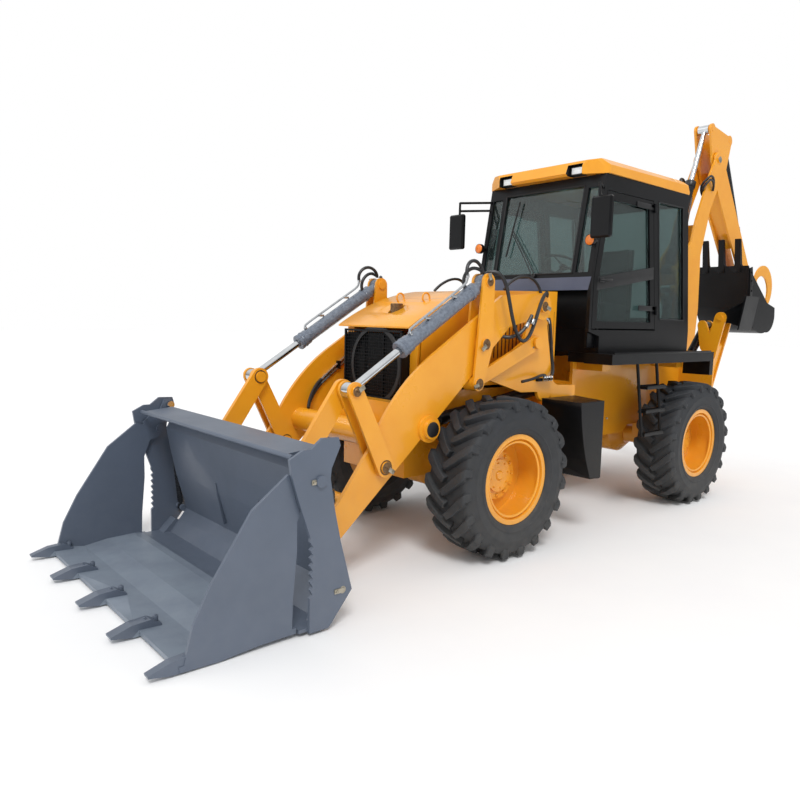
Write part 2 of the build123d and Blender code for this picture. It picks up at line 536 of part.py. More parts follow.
# ---------------------------------------------------------------- rear frame
rear_outline = profile(
    (-1480, 1370), (-1480, 640), (-2350, 640), (-2450, PAD_TOP), (-2950, PAD_TOP), (-3080, 620), (-3400, 560),
    (-3420, 1370))
rear_frame = side(rear_outline, REAR_FRAME_IN, REAR_FRAME_OUT)
rear_frame += mirrored(rear_frame)
for x0, x1, z0, z1 in ((-1520, -1480, 640, 1180), (-2330, -2290, 760, 1200), (-3420, -3380, 560, 1370)):
    rear_frame += block(x0, x1, -REAR_FRAME_OUT, REAR_FRAME_OUT, z0, z1)
for z in (EARS[0] + EAR_T + 4, EARS[1] - EAR_T - 4):
    rear_frame += hinge_ear(-1510, z)
for z, step in ((EARS[0], 1), (EARS[1], -1)):
    rear_frame += post(HINGE_X, 0, PIVOT_R, z - 25, z + EAR_T + 25)
    rear_frame += post(HINGE_X, 0, PIVOT_R + 18, z - 25 if step > 0 else z + EAR_T + 4, z - 4 if step > 0 else z + EAR_T + 25)
for sign in (1, -1):
    for x in (-1600, -2900):
        rear_frame += block(x - 60, x + 60, sign * REAR_FRAME_OUT, sign * 600, 1290, 1365)
rear_frame += block(-3440, -3420, -700, 700, 700, 1370)
for sign in (1, -1):
    for x0, x1, top in ((-3475, -3445, 1150), (-3755, -3725, 1000)):
        rear_frame += block(x0, x1, sign * 90, sign * 500, 530, top)
    rear_frame += pin_x((sign * STAB_PIVOT[0], STAB_PIVOT[1]), STAB_PIN_R, -3770, -3430)
    for x0, x1 in ((-3725, STAB_X - STAB_RAM_HALF - SEAT_GAP), (STAB_X + STAB_RAM_HALF + SEAT_GAP, -3475)):
        rear_frame += pin_x((sign * STAB_RAM_FOOT[0], STAB_RAM_FOOT[1]), 38, x0, x1)
rear_frame += block(-3760, -3440, -90, 90, 620, 700) + block(-3780, -3760, -500, 500, 560, 925)
for z0 in KINGPOST_EARS:
    rear_frame += level(profile((-3760, -170), (-3840, -95), (SWING_X, -95), (SWING_X, 95), (-3840, 95), (-3760, 170)),
                        z0, z0 + KINGPOST_EAR_T)
    rear_frame += post(SWING_X, 0, 95, z0, z0 + KINGPOST_EAR_T)
    rear_frame -= post(SWING_X, 0, KINGPIN_R + FIT, z0 - 1, z0 + KINGPOST_EAR_T + 1)
save("rear_frame", rear_frame)

platform = block(-3050, -1310, 335, PLATFORM_HALF, PLATFORM_Z - 90, PLATFORM_Z)
platform -= block(-1395, -1300, 330, 562, PLATFORM_Z - 91, PLATFORM_Z + 1)
platform += block(-3120, -3050, 560, PLATFORM_HALF, PLATFORM_Z - 230, PLATFORM_Z)
for x, top, low in ((-1740, 1370, 730), (-2060, 1370, 730)):
    platform += tube((x, PLATFORM_HALF - 20, top), (x, PLATFORM_HALF + 60, low), 14)
for z in (1160, 950, 745):
    platform += block(-2060, -1740, PLATFORM_HALF - 40 + (1370 - z) * 0.12, PLATFORM_HALF + 90, z - 12, z + 12)
save("platforms", *both(platform))

# ---------------------------------------------------------------- cab
ROOF_Z = 2965.0
cab_outline = profile(
    (-1400, CAB_FLOOR_Z), (-1400, 1990), (-1240, 1990), (-1240, 2100), (-1385, ROOF_Z), (-2770, ROOF_Z),
    (-2950, 1660), (-2950, CAB_FLOOR_Z))
cab = side(cab_outline, -CAB_HALF, CAB_HALF)
cab -= side(profile(
    (-1440, CAB_DECK_Z), (-1440, 2020), (-1290, 2020), (-1290, 2110), (-1420, ROOF_Z + 5), (-2730, ROOF_Z + 5),
    (-2905, 1660), (-2905, CAB_DECK_Z)), -CAB_HALF + CAB_WALL, CAB_HALF - CAB_WALL)
door_outline = profile(
    (-1275, DOOR_REAR_LOW[1]), (-1275, 2100), (-1410, DOOR_REAR_TOP[1]), DOOR_REAR_TOP, DOOR_REAR_LOW)
foot_panel = side(profile((-1400, 1600), (-1400, 1990), (-1240, 1990), (-1240, 1640)), CAB_HALF - 30, CAB_HALF)
cab += foot_panel + mirrored(foot_panel)
quarter = profile((-2380, 1760), (-2235, 2830), (-2690, 2830), (-2840, 1760))
cab -= side(door_outline, -CAB_HALF - 1, CAB_HALF + 1)
cab -= side(quarter, -CAB_HALF - 1, CAB_HALF + 1)
cab -= block(-1500, -1200, -430, 430, 2140, 2880)
cab -= cross(profile((470, 2140), (595, 2140), (595, 2860), (480, 2860)), -1500, -1200)
cab -= cross(profile((-470, 2140), (-595, 2140), (-595, 2860), (-480, 2860)), -1500, -1200)
cab -= block(-3000, -2600, -560, 560, 1780, 2850)
hinge_low = (DOOR_REAR_LOW[0], DOOR_HINGE_Y, DOOR_REAR_LOW[1])
hinge_run = Vector(DOOR_REAR_TOP[0] - DOOR_REAR_LOW[0], 0, DOOR_REAR_TOP[1] - DOOR_REAR_LOW[1])

LEAF_INSET = 4.0
LEAF_AHEAD = 8.0


def knuckle(start, end, leaf):
    """A hinge knuckle between two distances up the door's hinge line, its leaf reaching fore or aft."""
    axis = hinge_run.normalized()
    low, high = (Vector(*hinge_low) + axis * distance for distance in (start, end))
    near = low.X + (LEAF_AHEAD if leaf > 0 else 0)
    x0, x1 = sorted((near, low.X + leaf))
    return tube(low, high, 13) + block(x0, x1, CAB_HALF, CAB_HALF + 10, low.Z + LEAF_INSET, high.Z - LEAF_INSET)


HINGES = (150.0, 1080.0)
for at in HINGES:
    knuckles = knuckle(at, at + 40, -45)
    cab += knuckles + mirrored(knuckles)
MIRROR = (-1087.0, 810.0, 2558.0)
SIGNAL = (-1205.0, 626.0, 2400.0)
fittings = block(MIRROR[0] - 28, MIRROR[0] + 22, MIRROR[1] - 95, MIRROR[1] + 95, MIRROR[2] - 165, MIRROR[2] + 165)
fittings = chamfer(fittings.edges(), 14)
for drop in (0, 75):
    fittings += tube((-1365, CAB_HALF - 20, 2850 - drop), (MIRROR[0], MIRROR[1] - 30, 2830 - drop), 11)
fittings += post(MIRROR[0], MIRROR[1] - 30, 11, MIRROR[2] + 150, 2835)
fittings += pin_x((SIGNAL[1], SIGNAL[2]), 16, SIGNAL[0] - 100, SIGNAL[0]) + pin_x((SIGNAL[1], SIGNAL[2]), 46, SIGNAL[0] - 34, SIGNAL[0])
cab += fittings + mirrored(fittings)
save("cab_frame", cab)

ROOF_LOW = ROOF_Z + SEAT_GAP
ROOF_HALF = CAB_HALF + 20
LAMP_Y, LAMP_HALF = 385.0, 75.0
roof_side = side(profile(
    (-1290, ROOF_LOW), (-1262, ROOF_LOW + 20), (-1300, 3080), ((-2040, 3135), (-2740, 3085)), (-2800, ROOF_LOW + 20),
    (-2790, ROOF_LOW)), -ROOF_HALF, ROOF_HALF)
roof_front = cross(profile(
    (-ROOF_HALF, ROOF_LOW), (-ROOF_HALF, 3035), (-ROOF_HALF + 75, 3095), (0, 3135), (ROOF_HALF - 75, 3095),
    (ROOF_HALF, 3035), (ROOF_HALF, ROOF_LOW)), -2810, -1250)
roof_plan = level(profile(
    (-1262, -430), (-1262, 430), (-1400, ROOF_HALF), (-2800, ROOF_HALF - 20), (-2800, -ROOF_HALF + 20), (-1400, -ROOF_HALF)),
    ROOF_LOW, 3140)
roof = roof_side & roof_front & roof_plan
for sign in (1, -1):
    y0, y1 = sorted((sign * (LAMP_Y - LAMP_HALF), sign * (LAMP_Y + LAMP_HALF)))
    roof -= side(profile((-1200, 2950), (-1380, 2950), (-1380, 3050), (-1200, 3062)), y0, y1)
    roof += block(-1381, -1320, y0 + 15, y1 - 15, 2972, 3040)
save("cab_roof", roof)

GLASS = 6.0
glazing = []
for sign in (1, -1):
    y0, y1 = sorted((sign * (CAB_HALF - 25), sign * (CAB_HALF - 25 - GLASS)))
    glazing.append(side(offset(quarter, -0.3), y0, y1))
SCREEN_TOP, SCREEN_LOW = (-1385.0, 2965.0), (-1240.0, 2100.0)
lean = Vector(SCREEN_TOP[0] - SCREEN_LOW[0], 0, SCREEN_TOP[1] - SCREEN_LOW[1]).normalized()


def screen_point(z, depth):
    """A point on the windscreen's slope at a height, sunk below the cab's outer face."""
    run = (z - SCREEN_LOW[1]) / (SCREEN_TOP[1] - SCREEN_LOW[1])
    return (SCREEN_LOW[0] + run * (SCREEN_TOP[0] - SCREEN_LOW[0]) - depth, z)


pane = profile(screen_point(2140.3, 18), screen_point(2140.3, 18 + GLASS), screen_point(2879.7, 18 + GLASS), screen_point(2879.7, 18))
glazing.append(side(pane, -429.7, 429.7))
for sign in (1, -1):
    y0, y1 = sorted((sign * 472, sign * 594.7))
    glazing.append(side(pane, y0, y1) & cross(profile(
        (sign * 470.3, 2140.3), (sign * 594.7, 2140.3), (sign * 594.7, 2859.7), (sign * 480.3, 2859.7)), -1500, -1200))
rear_top, rear_low = (-2770 + 24, ROOF_Z), (-2950 + 24, 1660)


def rear_x(z):
    """How far back the sloping rear pane stands at a height."""
    return rear_low[0] + (z - rear_low[1]) / (rear_top[1] - rear_low[1]) * (rear_top[0] - rear_low[0])


glazing.append(side(profile((rear_x(1780.3), 1780.3), (rear_x(1780.3) + GLASS, 1780.3), (rear_x(2849.7) + GLASS, 2849.7),
                            (rear_x(2849.7), 2849.7)), -559.7, 559.7))
save("cab_glazing", *glazing)

DOOR_LIFT = 7.0
door = side(offset(door_outline, -GAP), CAB_HALF - CAB_WALL + 3, CAB_HALF)
door -= side(offset(door_outline, -75), CAB_HALF - CAB_WALL, CAB_HALF + 1)
door -= block(-2400, -1000, CAB_HALF - CAB_WALL, CAB_HALF + 1, 1600, DOOR_REAR_LOW[1] + GAP + DOOR_LIFT)
door_glass = side(offset(door_outline, -75.3), CAB_HALF - 28, CAB_HALF - 22)
for at in HINGES:
    door += knuckle(at + 40 + SEAT_GAP, at + 80, 60)
save("door_left", door, door_glass)
save("door_right", mirrored(door), mirrored(door_glass))

seat = block(-2500, -2000, -250, 250, CAB_DECK_Z, 1900) + block(-2560, -2440, -250, 250, CAB_DECK_Z, 2450)
console = block(-1620, -1440 - SEAT_GAP, -180, 180, CAB_DECK_Z, 2150)
WHEEL_AT = (-1720.0, 2235.0)
rim_plane = Plane(origin=(WHEEL_AT[0], 0, WHEEL_AT[1]), z_dir=(-0.5, 0, 0.87))
steering_wheel = rim_plane * (Torus(190, 12) + Cylinder(45, 24) + Box(372, 26, 10))
column = tube((-1560, 0, 2100), (WHEEL_AT[0] + 3, 0, WHEEL_AT[1] - 5), 28)
save("operator_station", seat, console + column + steering_wheel)

# ---------------------------------------------------------------- backhoe
POST_REAR, POST_BACK = -4060.0, -4150.0
low, high = KINGPOST_EARS[0] + KINGPOST_EAR_T + 5, KINGPOST_EARS[1] - 5
above = KINGPOST_EARS[1] + KINGPOST_EAR_T + 8
swing_post = post(SWING_X, 0, KINGPIN_R, KINGPOST_EARS[0] - 10, above - 3) + post(SWING_X, 0, 88, low, high)
swing_post += block(POST_REAR - 10, SWING_X, -60, 60, low, high)
swing_post += block(POST_BACK, POST_REAR, -DIPPER_OUT, DIPPER_OUT, low, 1060)
swing_post += block(POST_REAR, -3870, -72, 72, above, above + 18)
lug = profile(
    (POST_REAR, above), (-3870, above), (-3640, 1250), ((-3650, 1365), (-3755, 1350)), (-3880, 1125),
    ((BH_FOOT[0] - 20, 1135), (POST_BACK, 1040)), (POST_BACK, low), (POST_REAR, low))
for sign in (1, -1):
    y0, y1 = sorted((sign * 72, sign * DIPPER_OUT))
    swing_post += side(lug, y0, y1)
    swing_post += pin(BH_FOOT, PIN_R, sign * 72, sign * (HOE_BOOM_OUT + 14))
    swing_post += pin(BH_RAM_FOOT, 42, sign * (RAM_HALF + SEAT_GAP), sign * 72)
save("swing_post", swing_post)

hoe_boom_outline = profile(
    (BH_FOOT[0] + 90, BH_FOOT[1]), (-3850, 1900), (BH_RAM_EYE[0] + 10, BH_RAM_EYE[1] - 60),
    (DIPPER_RAM_FOOT[0] + 62, DIPPER_RAM_FOOT[1] - 10), (DIPPER_RAM_FOOT[0] + 20, DIPPER_RAM_FOOT[1] + 62),
    (-3880, 2650), (-3960, 2900), (-4180, 3380), (DIPPER_PIVOT[0] + 88, DIPPER_PIVOT[1] - 20),
    ((DIPPER_PIVOT[0], DIPPER_PIVOT[1] + 90), (DIPPER_PIVOT[0] - 88, DIPPER_PIVOT[1] - 20)),
    (-4470, 3400), (-4270, 3050), (-4110, 2520), (-4140, 1900), (BH_FOOT[0] - 90, BH_FOOT[1]),
    ((BH_FOOT[0], BH_FOOT[1] - 90), (BH_FOOT[0] + 90, BH_FOOT[1])))
hoe_plate = side(hoe_boom_outline, HOE_BOOM_IN, HOE_BOOM_OUT)
hoe_plate -= pin(BH_FOOT, PIN_R + FIT, HOE_BOOM_IN - 1, HOE_BOOM_OUT + 1)
hoe_plate += pin(DIPPER_PIVOT, PIN_R, DIPPER_IN, HOE_BOOM_OUT + 12)
for at in (BH_RAM_EYE, DIPPER_RAM_FOOT):
    hoe_plate += pin(at, 42, RAM_HALF + SEAT_GAP, HOE_BOOM_IN) + pin(at, 30, HOE_BOOM_OUT, HOE_BOOM_OUT + 12)
hoe_web = side(profile((-4140, 1900), (-4110, 2520), (-4215, 2870), (-4190, 2880), (-4085, 2520), (-4115, 1900)),
               -HOE_BOOM_IN, HOE_BOOM_IN)
backhoe_boom = hoe_plate + mirrored(hoe_plate) + hoe_web
save("backhoe_boom", backhoe_boom)

dipper_outline = profile(
    (DIPPER_RAM_EYE[0] + 55, DIPPER_RAM_EYE[1] - 20), ((DIPPER_RAM_EYE[0], DIPPER_RAM_EYE[1] + 58),
                                                      (DIPPER_RAM_EYE[0] - 50, DIPPER_RAM_EYE[1] + 30)),
    (BUCKET_RAM_FOOT[0] + 40, BUCKET_RAM_FOOT[1] + 45), ((BUCKET_RAM_FOOT[0] - 45, BUCKET_RAM_FOOT[1] + 38),
                                                         (BUCKET_RAM_FOOT[0] - 40, BUCKET_RAM_FOOT[1] - 45)),
    (-4660, 3560), (IDLER_PIVOT[0] - 130, IDLER_PIVOT[1] + 130), (HOE_PIVOT[0] - 60, HOE_PIVOT[1] + 40),
    ((HOE_PIVOT[0] - 20, HOE_PIVOT[1] - 70), (HOE_PIVOT[0] + 60, HOE_PIVOT[1] - 40)),
    (IDLER_PIVOT[0] + 60, IDLER_PIVOT[1] - 40), (-4500, 3260), (DIPPER_PIVOT[0] + 30, DIPPER_PIVOT[1] - 100),
    ((DIPPER_PIVOT[0] + 95, DIPPER_PIVOT[1] - 40), (DIPPER_PIVOT[0] + 110, DIPPER_PIVOT[1] + 30)))
dipper_plate = side(dipper_outline, DIPPER_IN, DIPPER_OUT)
dipper_plate -= pin(DIPPER_PIVOT, PIN_R + FIT, DIPPER_IN - 1, DIPPER_OUT + 1)
for at, reach in ((IDLER_PIVOT, 140), (HOE_PIVOT, 140)):
    dipper_plate += pin(at, PIN_R - 5, DIPPER_IN, reach)
for at in (DIPPER_RAM_EYE, BUCKET_RAM_FOOT):
    dipper_plate += pin(at, 42, RAM_HALF + SEAT_GAP, DIPPER_IN) + pin(at, 30, DIPPER_OUT, DIPPER_OUT + 3)
dipper_web = side(profile((-4660, 3560), (-4838, 3304), (-5005, 2840), (-4985, 2832), (-4820, 3296), (-4642, 3548)),
                  -DIPPER_IN, DIPPER_IN)
dipper_web += side(profile((-4500, 3260), (-5050, 2675), (-5065, 2690), (-4520, 3275)), -DIPPER_IN, DIPPER_IN)
save("dipper", dipper_plate + mirrored(dipper_plate) + dipper_web)

IDLER_PLATE = (106.0, 126.0)
LINK_SIDE = (130.0, 148.0)
idler = side(bar(IDLER_PIVOT, 60, IDLER_EYE, 55), *IDLER_PLATE)
idler -= pin(IDLER_PIVOT, PIN_R - 5 + FIT, 100, 130)
idler += pin(IDLER_EYE, PIN_R - 8, IDLER_PLATE[0], LINK_SIDE[1] + 10)
save("bucket_idler", *both(idler))
curved = profile(
    (IDLER_EYE[0] + 10, IDLER_EYE[1] + 55), ((-6060, 2400), (HOE_LINK[0] - 55, HOE_LINK[1] - 5)),
    ((HOE_LINK[0], HOE_LINK[1] - 55), (HOE_LINK[0] + 55, HOE_LINK[1] + 5)),
    ((-5955, 2280), (IDLER_EYE[0] - 10, IDLER_EYE[1] - 55)),
    ((IDLER_EYE[0] + 55, IDLER_EYE[1] - 5), (IDLER_EYE[0] + 10, IDLER_EYE[1] + 55)))
curved_link = side(curved, *LINK_SIDE)
curved_link -= pin(IDLER_EYE, PIN_R - 8 + FIT, LINK_SIDE[0] - 1, LINK_SIDE[1] + 1)
curved_link += pin(HOE_LINK, PIN_R - 8, LINK_SIDE[1], LINK_SIDE[1] + 10)
save("curved_link", *both(curved_link))

hoe_shell = profile(
    (-4930, 2450), (-5020, 1950), ((-5250, 1680), (-5560, 1650)), ((-5740, 1700), (-5815, 1860)), (-5800, 1965),
    (-5775, 1960), (-5788, 1865), ((-5718, 1720), (-5560, 1676)), ((-5270, 1706), (-5046, 1955)), (-4955, 2445))
hoe_cheek = profile(
    (-4930, 2450), (-5020, 1950), ((-5250, 1680), (-5560, 1650)), ((-5740, 1700), (-5815, 1860)), (-5800, 1965),
    (-5560, 2020), (-5250, 2230))
backhoe_bucket = side(hoe_shell, -HOE_HALF, HOE_HALF)
cheek = side(hoe_cheek, HOE_HALF - 18, HOE_HALF)
hoe_ear = profile(
    (HOE_PIVOT[0] + 65, HOE_PIVOT[1] + 10), ((HOE_PIVOT[0], HOE_PIVOT[1] + 66), (HOE_PIVOT[0] - 65, HOE_PIVOT[1] + 10)),
    (HOE_LINK[0] + 30, HOE_LINK[1] + 55), ((HOE_LINK[0] - 55, HOE_LINK[1] + 20), (HOE_LINK[0] + 10, HOE_LINK[1] - 60)),
    (-5900, 1800), (-5812, 1840), ((-5740, 1700), (-5560, 1650)))
cheek += side(hoe_ear, 106, 126)
cheek -= pin(HOE_PIVOT, PIN_R - 5 + FIT, 100, 130)

backhoe_bucket += cheek + mirrored(cheek)
for y in (-200, 0, 200):
    tooth = profile((-4880, 2770), (-4905, 2765), (-5000, 2380), (-4930, 2370))
    backhoe_bucket += side(tooth, y - 35, y + 35)
save("backhoe_bucket", backhoe_bucket)

for name, foot, eye, barrel_r, rod_r, barrel_len, tail in (
        ("boom_ram", BH_RAM_FOOT, BH_RAM_EYE, 55, 30, 740, 90),
        ("dipper_ram", DIPPER_RAM_FOOT, DIPPER_RAM_EYE, 52, 28, 1085, 900),
        ("bucket_ram", BUCKET_RAM_FOOT, IDLER_EYE, 48, 27, 1160, 950)):
    barrel, rod = ram(foot, eye, barrel_r, rod_r, barrel_len, tail, 50, RAM_HALF, in_side(0))
    save(f"backhoe_{name}_barrel", barrel)
    save(f"backhoe_{name}_rod", rod)

# ---------------------------------------------------------------- stabilisers
LEG_X = (STAB_X - 80.0, STAB_X + 80.0)
for hand, sign in (("left", 1), ("right", -1)):
    def flip(point, sign=sign):
        return (sign * point[0], point[1])

    leg = None
    for x0, x1 in ((LEG_X[0], LEG_X[0] + 22), (LEG_X[1] - 22, LEG_X[1])):
        plate = cross(bar(flip(STAB_PIVOT), 75, flip(STAB_FOOT_PIN), 60), x0, x1)
        plate += cross(bar(flip(STAB_RAM_EYE), 50, flip((560, 1500)), 70), x0, x1)
        leg = plate if leg is None else leg + plate
    leg += cross(bar(flip((500, 900)), 38, flip((635, 1500)), 38), LEG_X[0] + 22, LEG_X[1] - 22)
    leg -= pin_x(flip(STAB_PIVOT), STAB_PIN_R + FIT, LEG_X[0] - 1, LEG_X[1] + 1)
    leg += pin_x(flip(STAB_FOOT_PIN), STAB_PIN_R, LEG_X[0] - 12, LEG_X[1] + 12)
    save(f"stabiliser_leg_{hand}", leg)
    foot = cross(profile(*(flip(p) for p in ((975, 2020), (920, 1678), (905, 1680), (958, 2022)))), STAB_X - 150, STAB_X + 150)
    foot += cross(profile(*(flip(p) for p in ((962, 2000), (912, 1705), (760, 1750), (700, 1742), (632, 1800), (700, 1858)))),
                  LEG_X[0] + 26, LEG_X[1] - 26)
    foot -= pin_x(flip(STAB_FOOT_PIN), STAB_PIN_R + FIT, LEG_X[0], LEG_X[1])
    save(f"stabiliser_foot_{hand}", foot)
    barrel, rod = ram(STAB_RAM_EYE, STAB_RAM_FOOT, 45, 28, 830, 120, 42, STAB_RAM_HALF, in_cross(STAB_X, sign))
    save(f"stabiliser_ram_barrel_{hand}", barrel)
    save(f"stabiliser_ram_rod_{hand}", rod)
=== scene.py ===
"""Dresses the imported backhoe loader: treaded tyres, glass, trim, hoses, finishes, floor, lights and camera.

Sizes are in millimetres unless a name says otherwise.  X runs forward from the front axle, Y to the
left from the centre plane and Z up from the ground; at() turns them into the frame's metres.
"""
from __future__ import annotations

import logging
import math
from collections.abc import Callable, Iterable, Sequence
from dataclasses import dataclass
from enum import Enum

import bpy
from mathutils import Matrix, Vector


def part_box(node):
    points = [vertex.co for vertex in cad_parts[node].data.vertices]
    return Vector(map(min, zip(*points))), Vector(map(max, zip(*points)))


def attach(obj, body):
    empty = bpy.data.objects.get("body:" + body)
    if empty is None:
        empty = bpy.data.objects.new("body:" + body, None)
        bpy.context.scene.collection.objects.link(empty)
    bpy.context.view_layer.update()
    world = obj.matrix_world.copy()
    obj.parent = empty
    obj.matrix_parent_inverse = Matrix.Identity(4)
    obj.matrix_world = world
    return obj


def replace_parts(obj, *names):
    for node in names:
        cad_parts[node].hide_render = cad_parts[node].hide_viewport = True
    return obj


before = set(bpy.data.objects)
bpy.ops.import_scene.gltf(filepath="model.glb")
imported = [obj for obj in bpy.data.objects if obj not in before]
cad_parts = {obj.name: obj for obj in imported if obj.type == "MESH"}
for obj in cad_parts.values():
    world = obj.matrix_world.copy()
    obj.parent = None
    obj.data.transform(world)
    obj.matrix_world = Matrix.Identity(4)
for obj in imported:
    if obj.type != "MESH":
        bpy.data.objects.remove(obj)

LOG = logging.getLogger("backhoe_loader")
MM = 0.001
FRONT_AXLE_X = sum(corner[0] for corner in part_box("tyre_front_left")) / 2
WHEELBASE = FRONT_AXLE_X / MM - sum(corner[0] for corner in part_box("tyre_rear_left")) / 2 / MM
AXLE_HEIGHT = 587.5
AHEAD, ACROSS, UPWARDS = (1, 0, 0), (0, 1, 0), (0, 0, 1)
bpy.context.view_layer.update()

Point = tuple[float, float, float]
Flat = tuple[float, float]
Piece, Tree, Socket = bpy.types.Object, bpy.types.NodeTree, bpy.types.NodeSocket


def at(x: float, y: float, z: float) -> Vector:
    """Turn millimetres from the front axle's foot into a point of the frame."""
    return Vector((FRONT_AXLE_X + x * MM, y * MM, z * MM))


# ---------------------------------------------------------------- modelling by hand


def clear() -> None:
    """Leave edit mode and deselect everything."""
    if bpy.context.object is not None and bpy.context.object.mode != "OBJECT":
        bpy.ops.object.mode_set(mode="OBJECT")
    bpy.ops.object.select_all(action="DESELECT")


def choose(*pieces: Piece) -> None:
    """Select these pieces alone, the first one active."""
    clear()
    for piece in pieces:
        piece.select_set(True)
    bpy.context.view_layer.objects.active = pieces[0]


def newest(name: str) -> Piece:
    """Name the piece just added and put its place into its mesh."""
    piece = bpy.context.object
    piece.name = piece.data.name = name
    choose(piece)
    bpy.ops.object.transform_apply(location=True, rotation=True, scale=True)
    return piece


def apply_modifier(piece: Piece, kind: str, **settings: object) -> None:
    """Add one modifier with its settings and apply it.

    Args:
        piece: The mesh it works on.
        kind: Blender's name for the modifier type.
        settings: Values set on the modifier.
    """
    modifier = piece.modifiers.new(kind.title(), kind)
    for key, value in settings.items():
        setattr(modifier, key, value)
    choose(piece)
    bpy.ops.object.modifier_apply(modifier=modifier.name)


def soften(piece: Piece, width: float, segments: int = 2) -> Piece:
    """Round the sharp edges of a piece by a width in millimetres."""
    if width > 0:
        apply_modifier(piece, "BEVEL", width=width * MM, segments=segments, limit_method="ANGLE",
                       angle_limit=math.radians(40), use_clamp_overlap=True)
    return piece


def block(name: str, low: Point, high: Point, bevel: float = 3.0) -> Piece:
    """Model a block between two corners with rounded edges."""
    clear()
    a, b = at(*low), at(*high)
    bpy.ops.mesh.primitive_cube_add(size=1, location=(a + b) / 2, scale=[abs(v) for v in b - a])
    return soften(newest(name), bevel)


def rod(name: str, start: Point, end: Point, radius: float, end_radius: float | None = None,
        sides: int = 24, bevel: float = 1.5) -> Piece:
    """Model a round bar or a taper between two points.

    Args:
        name: Name of the piece.
        start: Middle of one end.
        end: Middle of the other end.
        radius: Radius at the start.
        end_radius: Radius at the end, the same as the start's by default.
        sides: Faces round the bar.
        bevel: Rounding of the rims.

    Returns:
        The finished piece.
    """
    clear()
    a, b = at(*start), at(*end)
    turn = (b - a).to_track_quat("Z", "Y").to_euler()
    bpy.ops.mesh.primitive_cone_add(vertices=sides, radius1=radius * MM,
            radius2=(radius if end_radius is None else end_radius) * MM, depth=(b - a).length,
            location=(a + b) / 2, rotation=turn)
    return soften(newest(name), bevel)


def even_normals(piece: Piece, merge: float = 0.0) -> None:
    """Merge doubles where asked and turn every face outwards."""
    choose(piece)
    bpy.ops.object.mode_set(mode="EDIT")
    bpy.ops.mesh.select_all(action="SELECT")
    if merge:
        bpy.ops.mesh.remove_doubles(threshold=merge)
    bpy.ops.mesh.normals_make_consistent(inside=False)
    bpy.ops.object.mode_set(mode="OBJECT")


def plate(name: str, outline: Sequence[Flat], start: float, end: float, bevel: float = 2.0) -> Piece:
    """Cut a plate from an outline seen from the left and give it its thickness.

    Args:
        name: Name of the piece.
        outline: Corners of the flat shape, as (x, z).
        start: Station of one face.
        end: Station of the other face.
        bevel: Rounding of the edges.

    Returns:
        The finished piece.
    """
    clear()
    bpy.ops.mesh.primitive_circle_add(vertices=len(outline), fill_type="NGON")
    piece = newest(name)
    for vertex, (x, z) in zip(piece.data.vertices, outline):
        vertex.co = at(x, start, z)
    bpy.ops.object.mode_set(mode="EDIT")
    bpy.ops.mesh.select_all(action="SELECT")
    step = at(0, end, 0) - at(0, start, 0)
    bpy.ops.mesh.extrude_region_move(TRANSFORM_OT_translate={"value": step})
    bpy.ops.object.mode_set(mode="OBJECT")
    even_normals(piece)
    return soften(piece, bevel)


def lathe(name: str, section: Sequence[Flat], centre: Point, axis: Point, steps: int = 48) -> Piece:
    """Turn a closed section about an axis.

    Args:
        name: Name of the piece.
        section: Corners as (radius, distance along the axis).
        centre: Where distance 0 lies on the axis.
        axis: Direction of the axis.
        steps: Faces round the piece.

    Returns:
        The finished piece.
    """
    clear()
    along = Vector(axis).normalized()
    outwards = along.orthogonal().normalized()
    middle = at(*centre)
    bpy.ops.mesh.primitive_circle_add(vertices=len(section), fill_type="NGON")
    piece = newest(name)
    for vertex, (radius, distance) in zip(piece.data.vertices, section):
        vertex.co = middle + outwards * radius * MM + along * distance * MM
    bpy.ops.object.mode_set(mode="EDIT")
    bpy.ops.mesh.select_all(action="SELECT")
    bpy.ops.mesh.delete(type="ONLY_FACE")
    bpy.ops.mesh.select_all(action="SELECT")
    bpy.ops.mesh.spin(steps=steps, angle=math.tau, center=middle, axis=along)
    bpy.ops.object.mode_set(mode="OBJECT")
    even_normals(piece, 1e-5)
    return piece


def pipe(name: str, points: Sequence[Point], radius: float, smooth: bool = True) -> Piece:
    """Bend a round hose or tube along a few points.

    Args:
        name: Name of the piece.
        points: Control points of its line.
        radius: Radius of the tube.
        smooth: A flowing line; otherwise short bends between straight runs.

    Returns:
        The finished piece, as a mesh.
    """
    clear()
    curve = bpy.data.curves.new(name, "CURVE")
    curve.dimensions = "3D"
    spline = curve.splines.new("NURBS")
    spline.points.add(len(points) - 1)
    for knot, point in zip(spline.points, points):
        knot.co = (*at(*point), 1.0)
    spline.use_endpoint_u = True
    spline.order_u = 4 if smooth and len(points) > 3 else min(3, len(points))
    curve.bevel_depth = radius * MM
    curve.bevel_resolution = 2
    curve.resolution_u = 6
    curve.use_fill_caps = True
    piece = bpy.data.objects.new(name, curve)
    bpy.context.collection.objects.link(piece)
    choose(piece)
    bpy.ops.object.convert(target="MESH")
    return piece


def pipes(radius: float, *routes: Sequence[Point], smooth: bool = True) -> list[Piece]:
    """Bend a hose or tube of one radius along each route."""
    return [pipe("run", route, radius, smooth) for route in routes]


def moved_copy(piece: Piece, matrix: Matrix) -> Piece:
    """Copy a piece with its own mesh, moved by a matrix in the frame."""
    twin = piece.copy()
    twin.data = piece.data.copy()
    twin.data.transform(matrix)
    if matrix.determinant() < 0:
        twin.data.flip_normals()
    bpy.context.collection.objects.link(twin)
    return twin


def join(name: str, pieces: Sequence[Piece]) -> Piece:
    """Make several pieces one."""
    choose(*pieces)
    if len(pieces) > 1:
        bpy.ops.object.join()
    pieces[0].name = pieces[0].data.name = name
    return pieces[0]


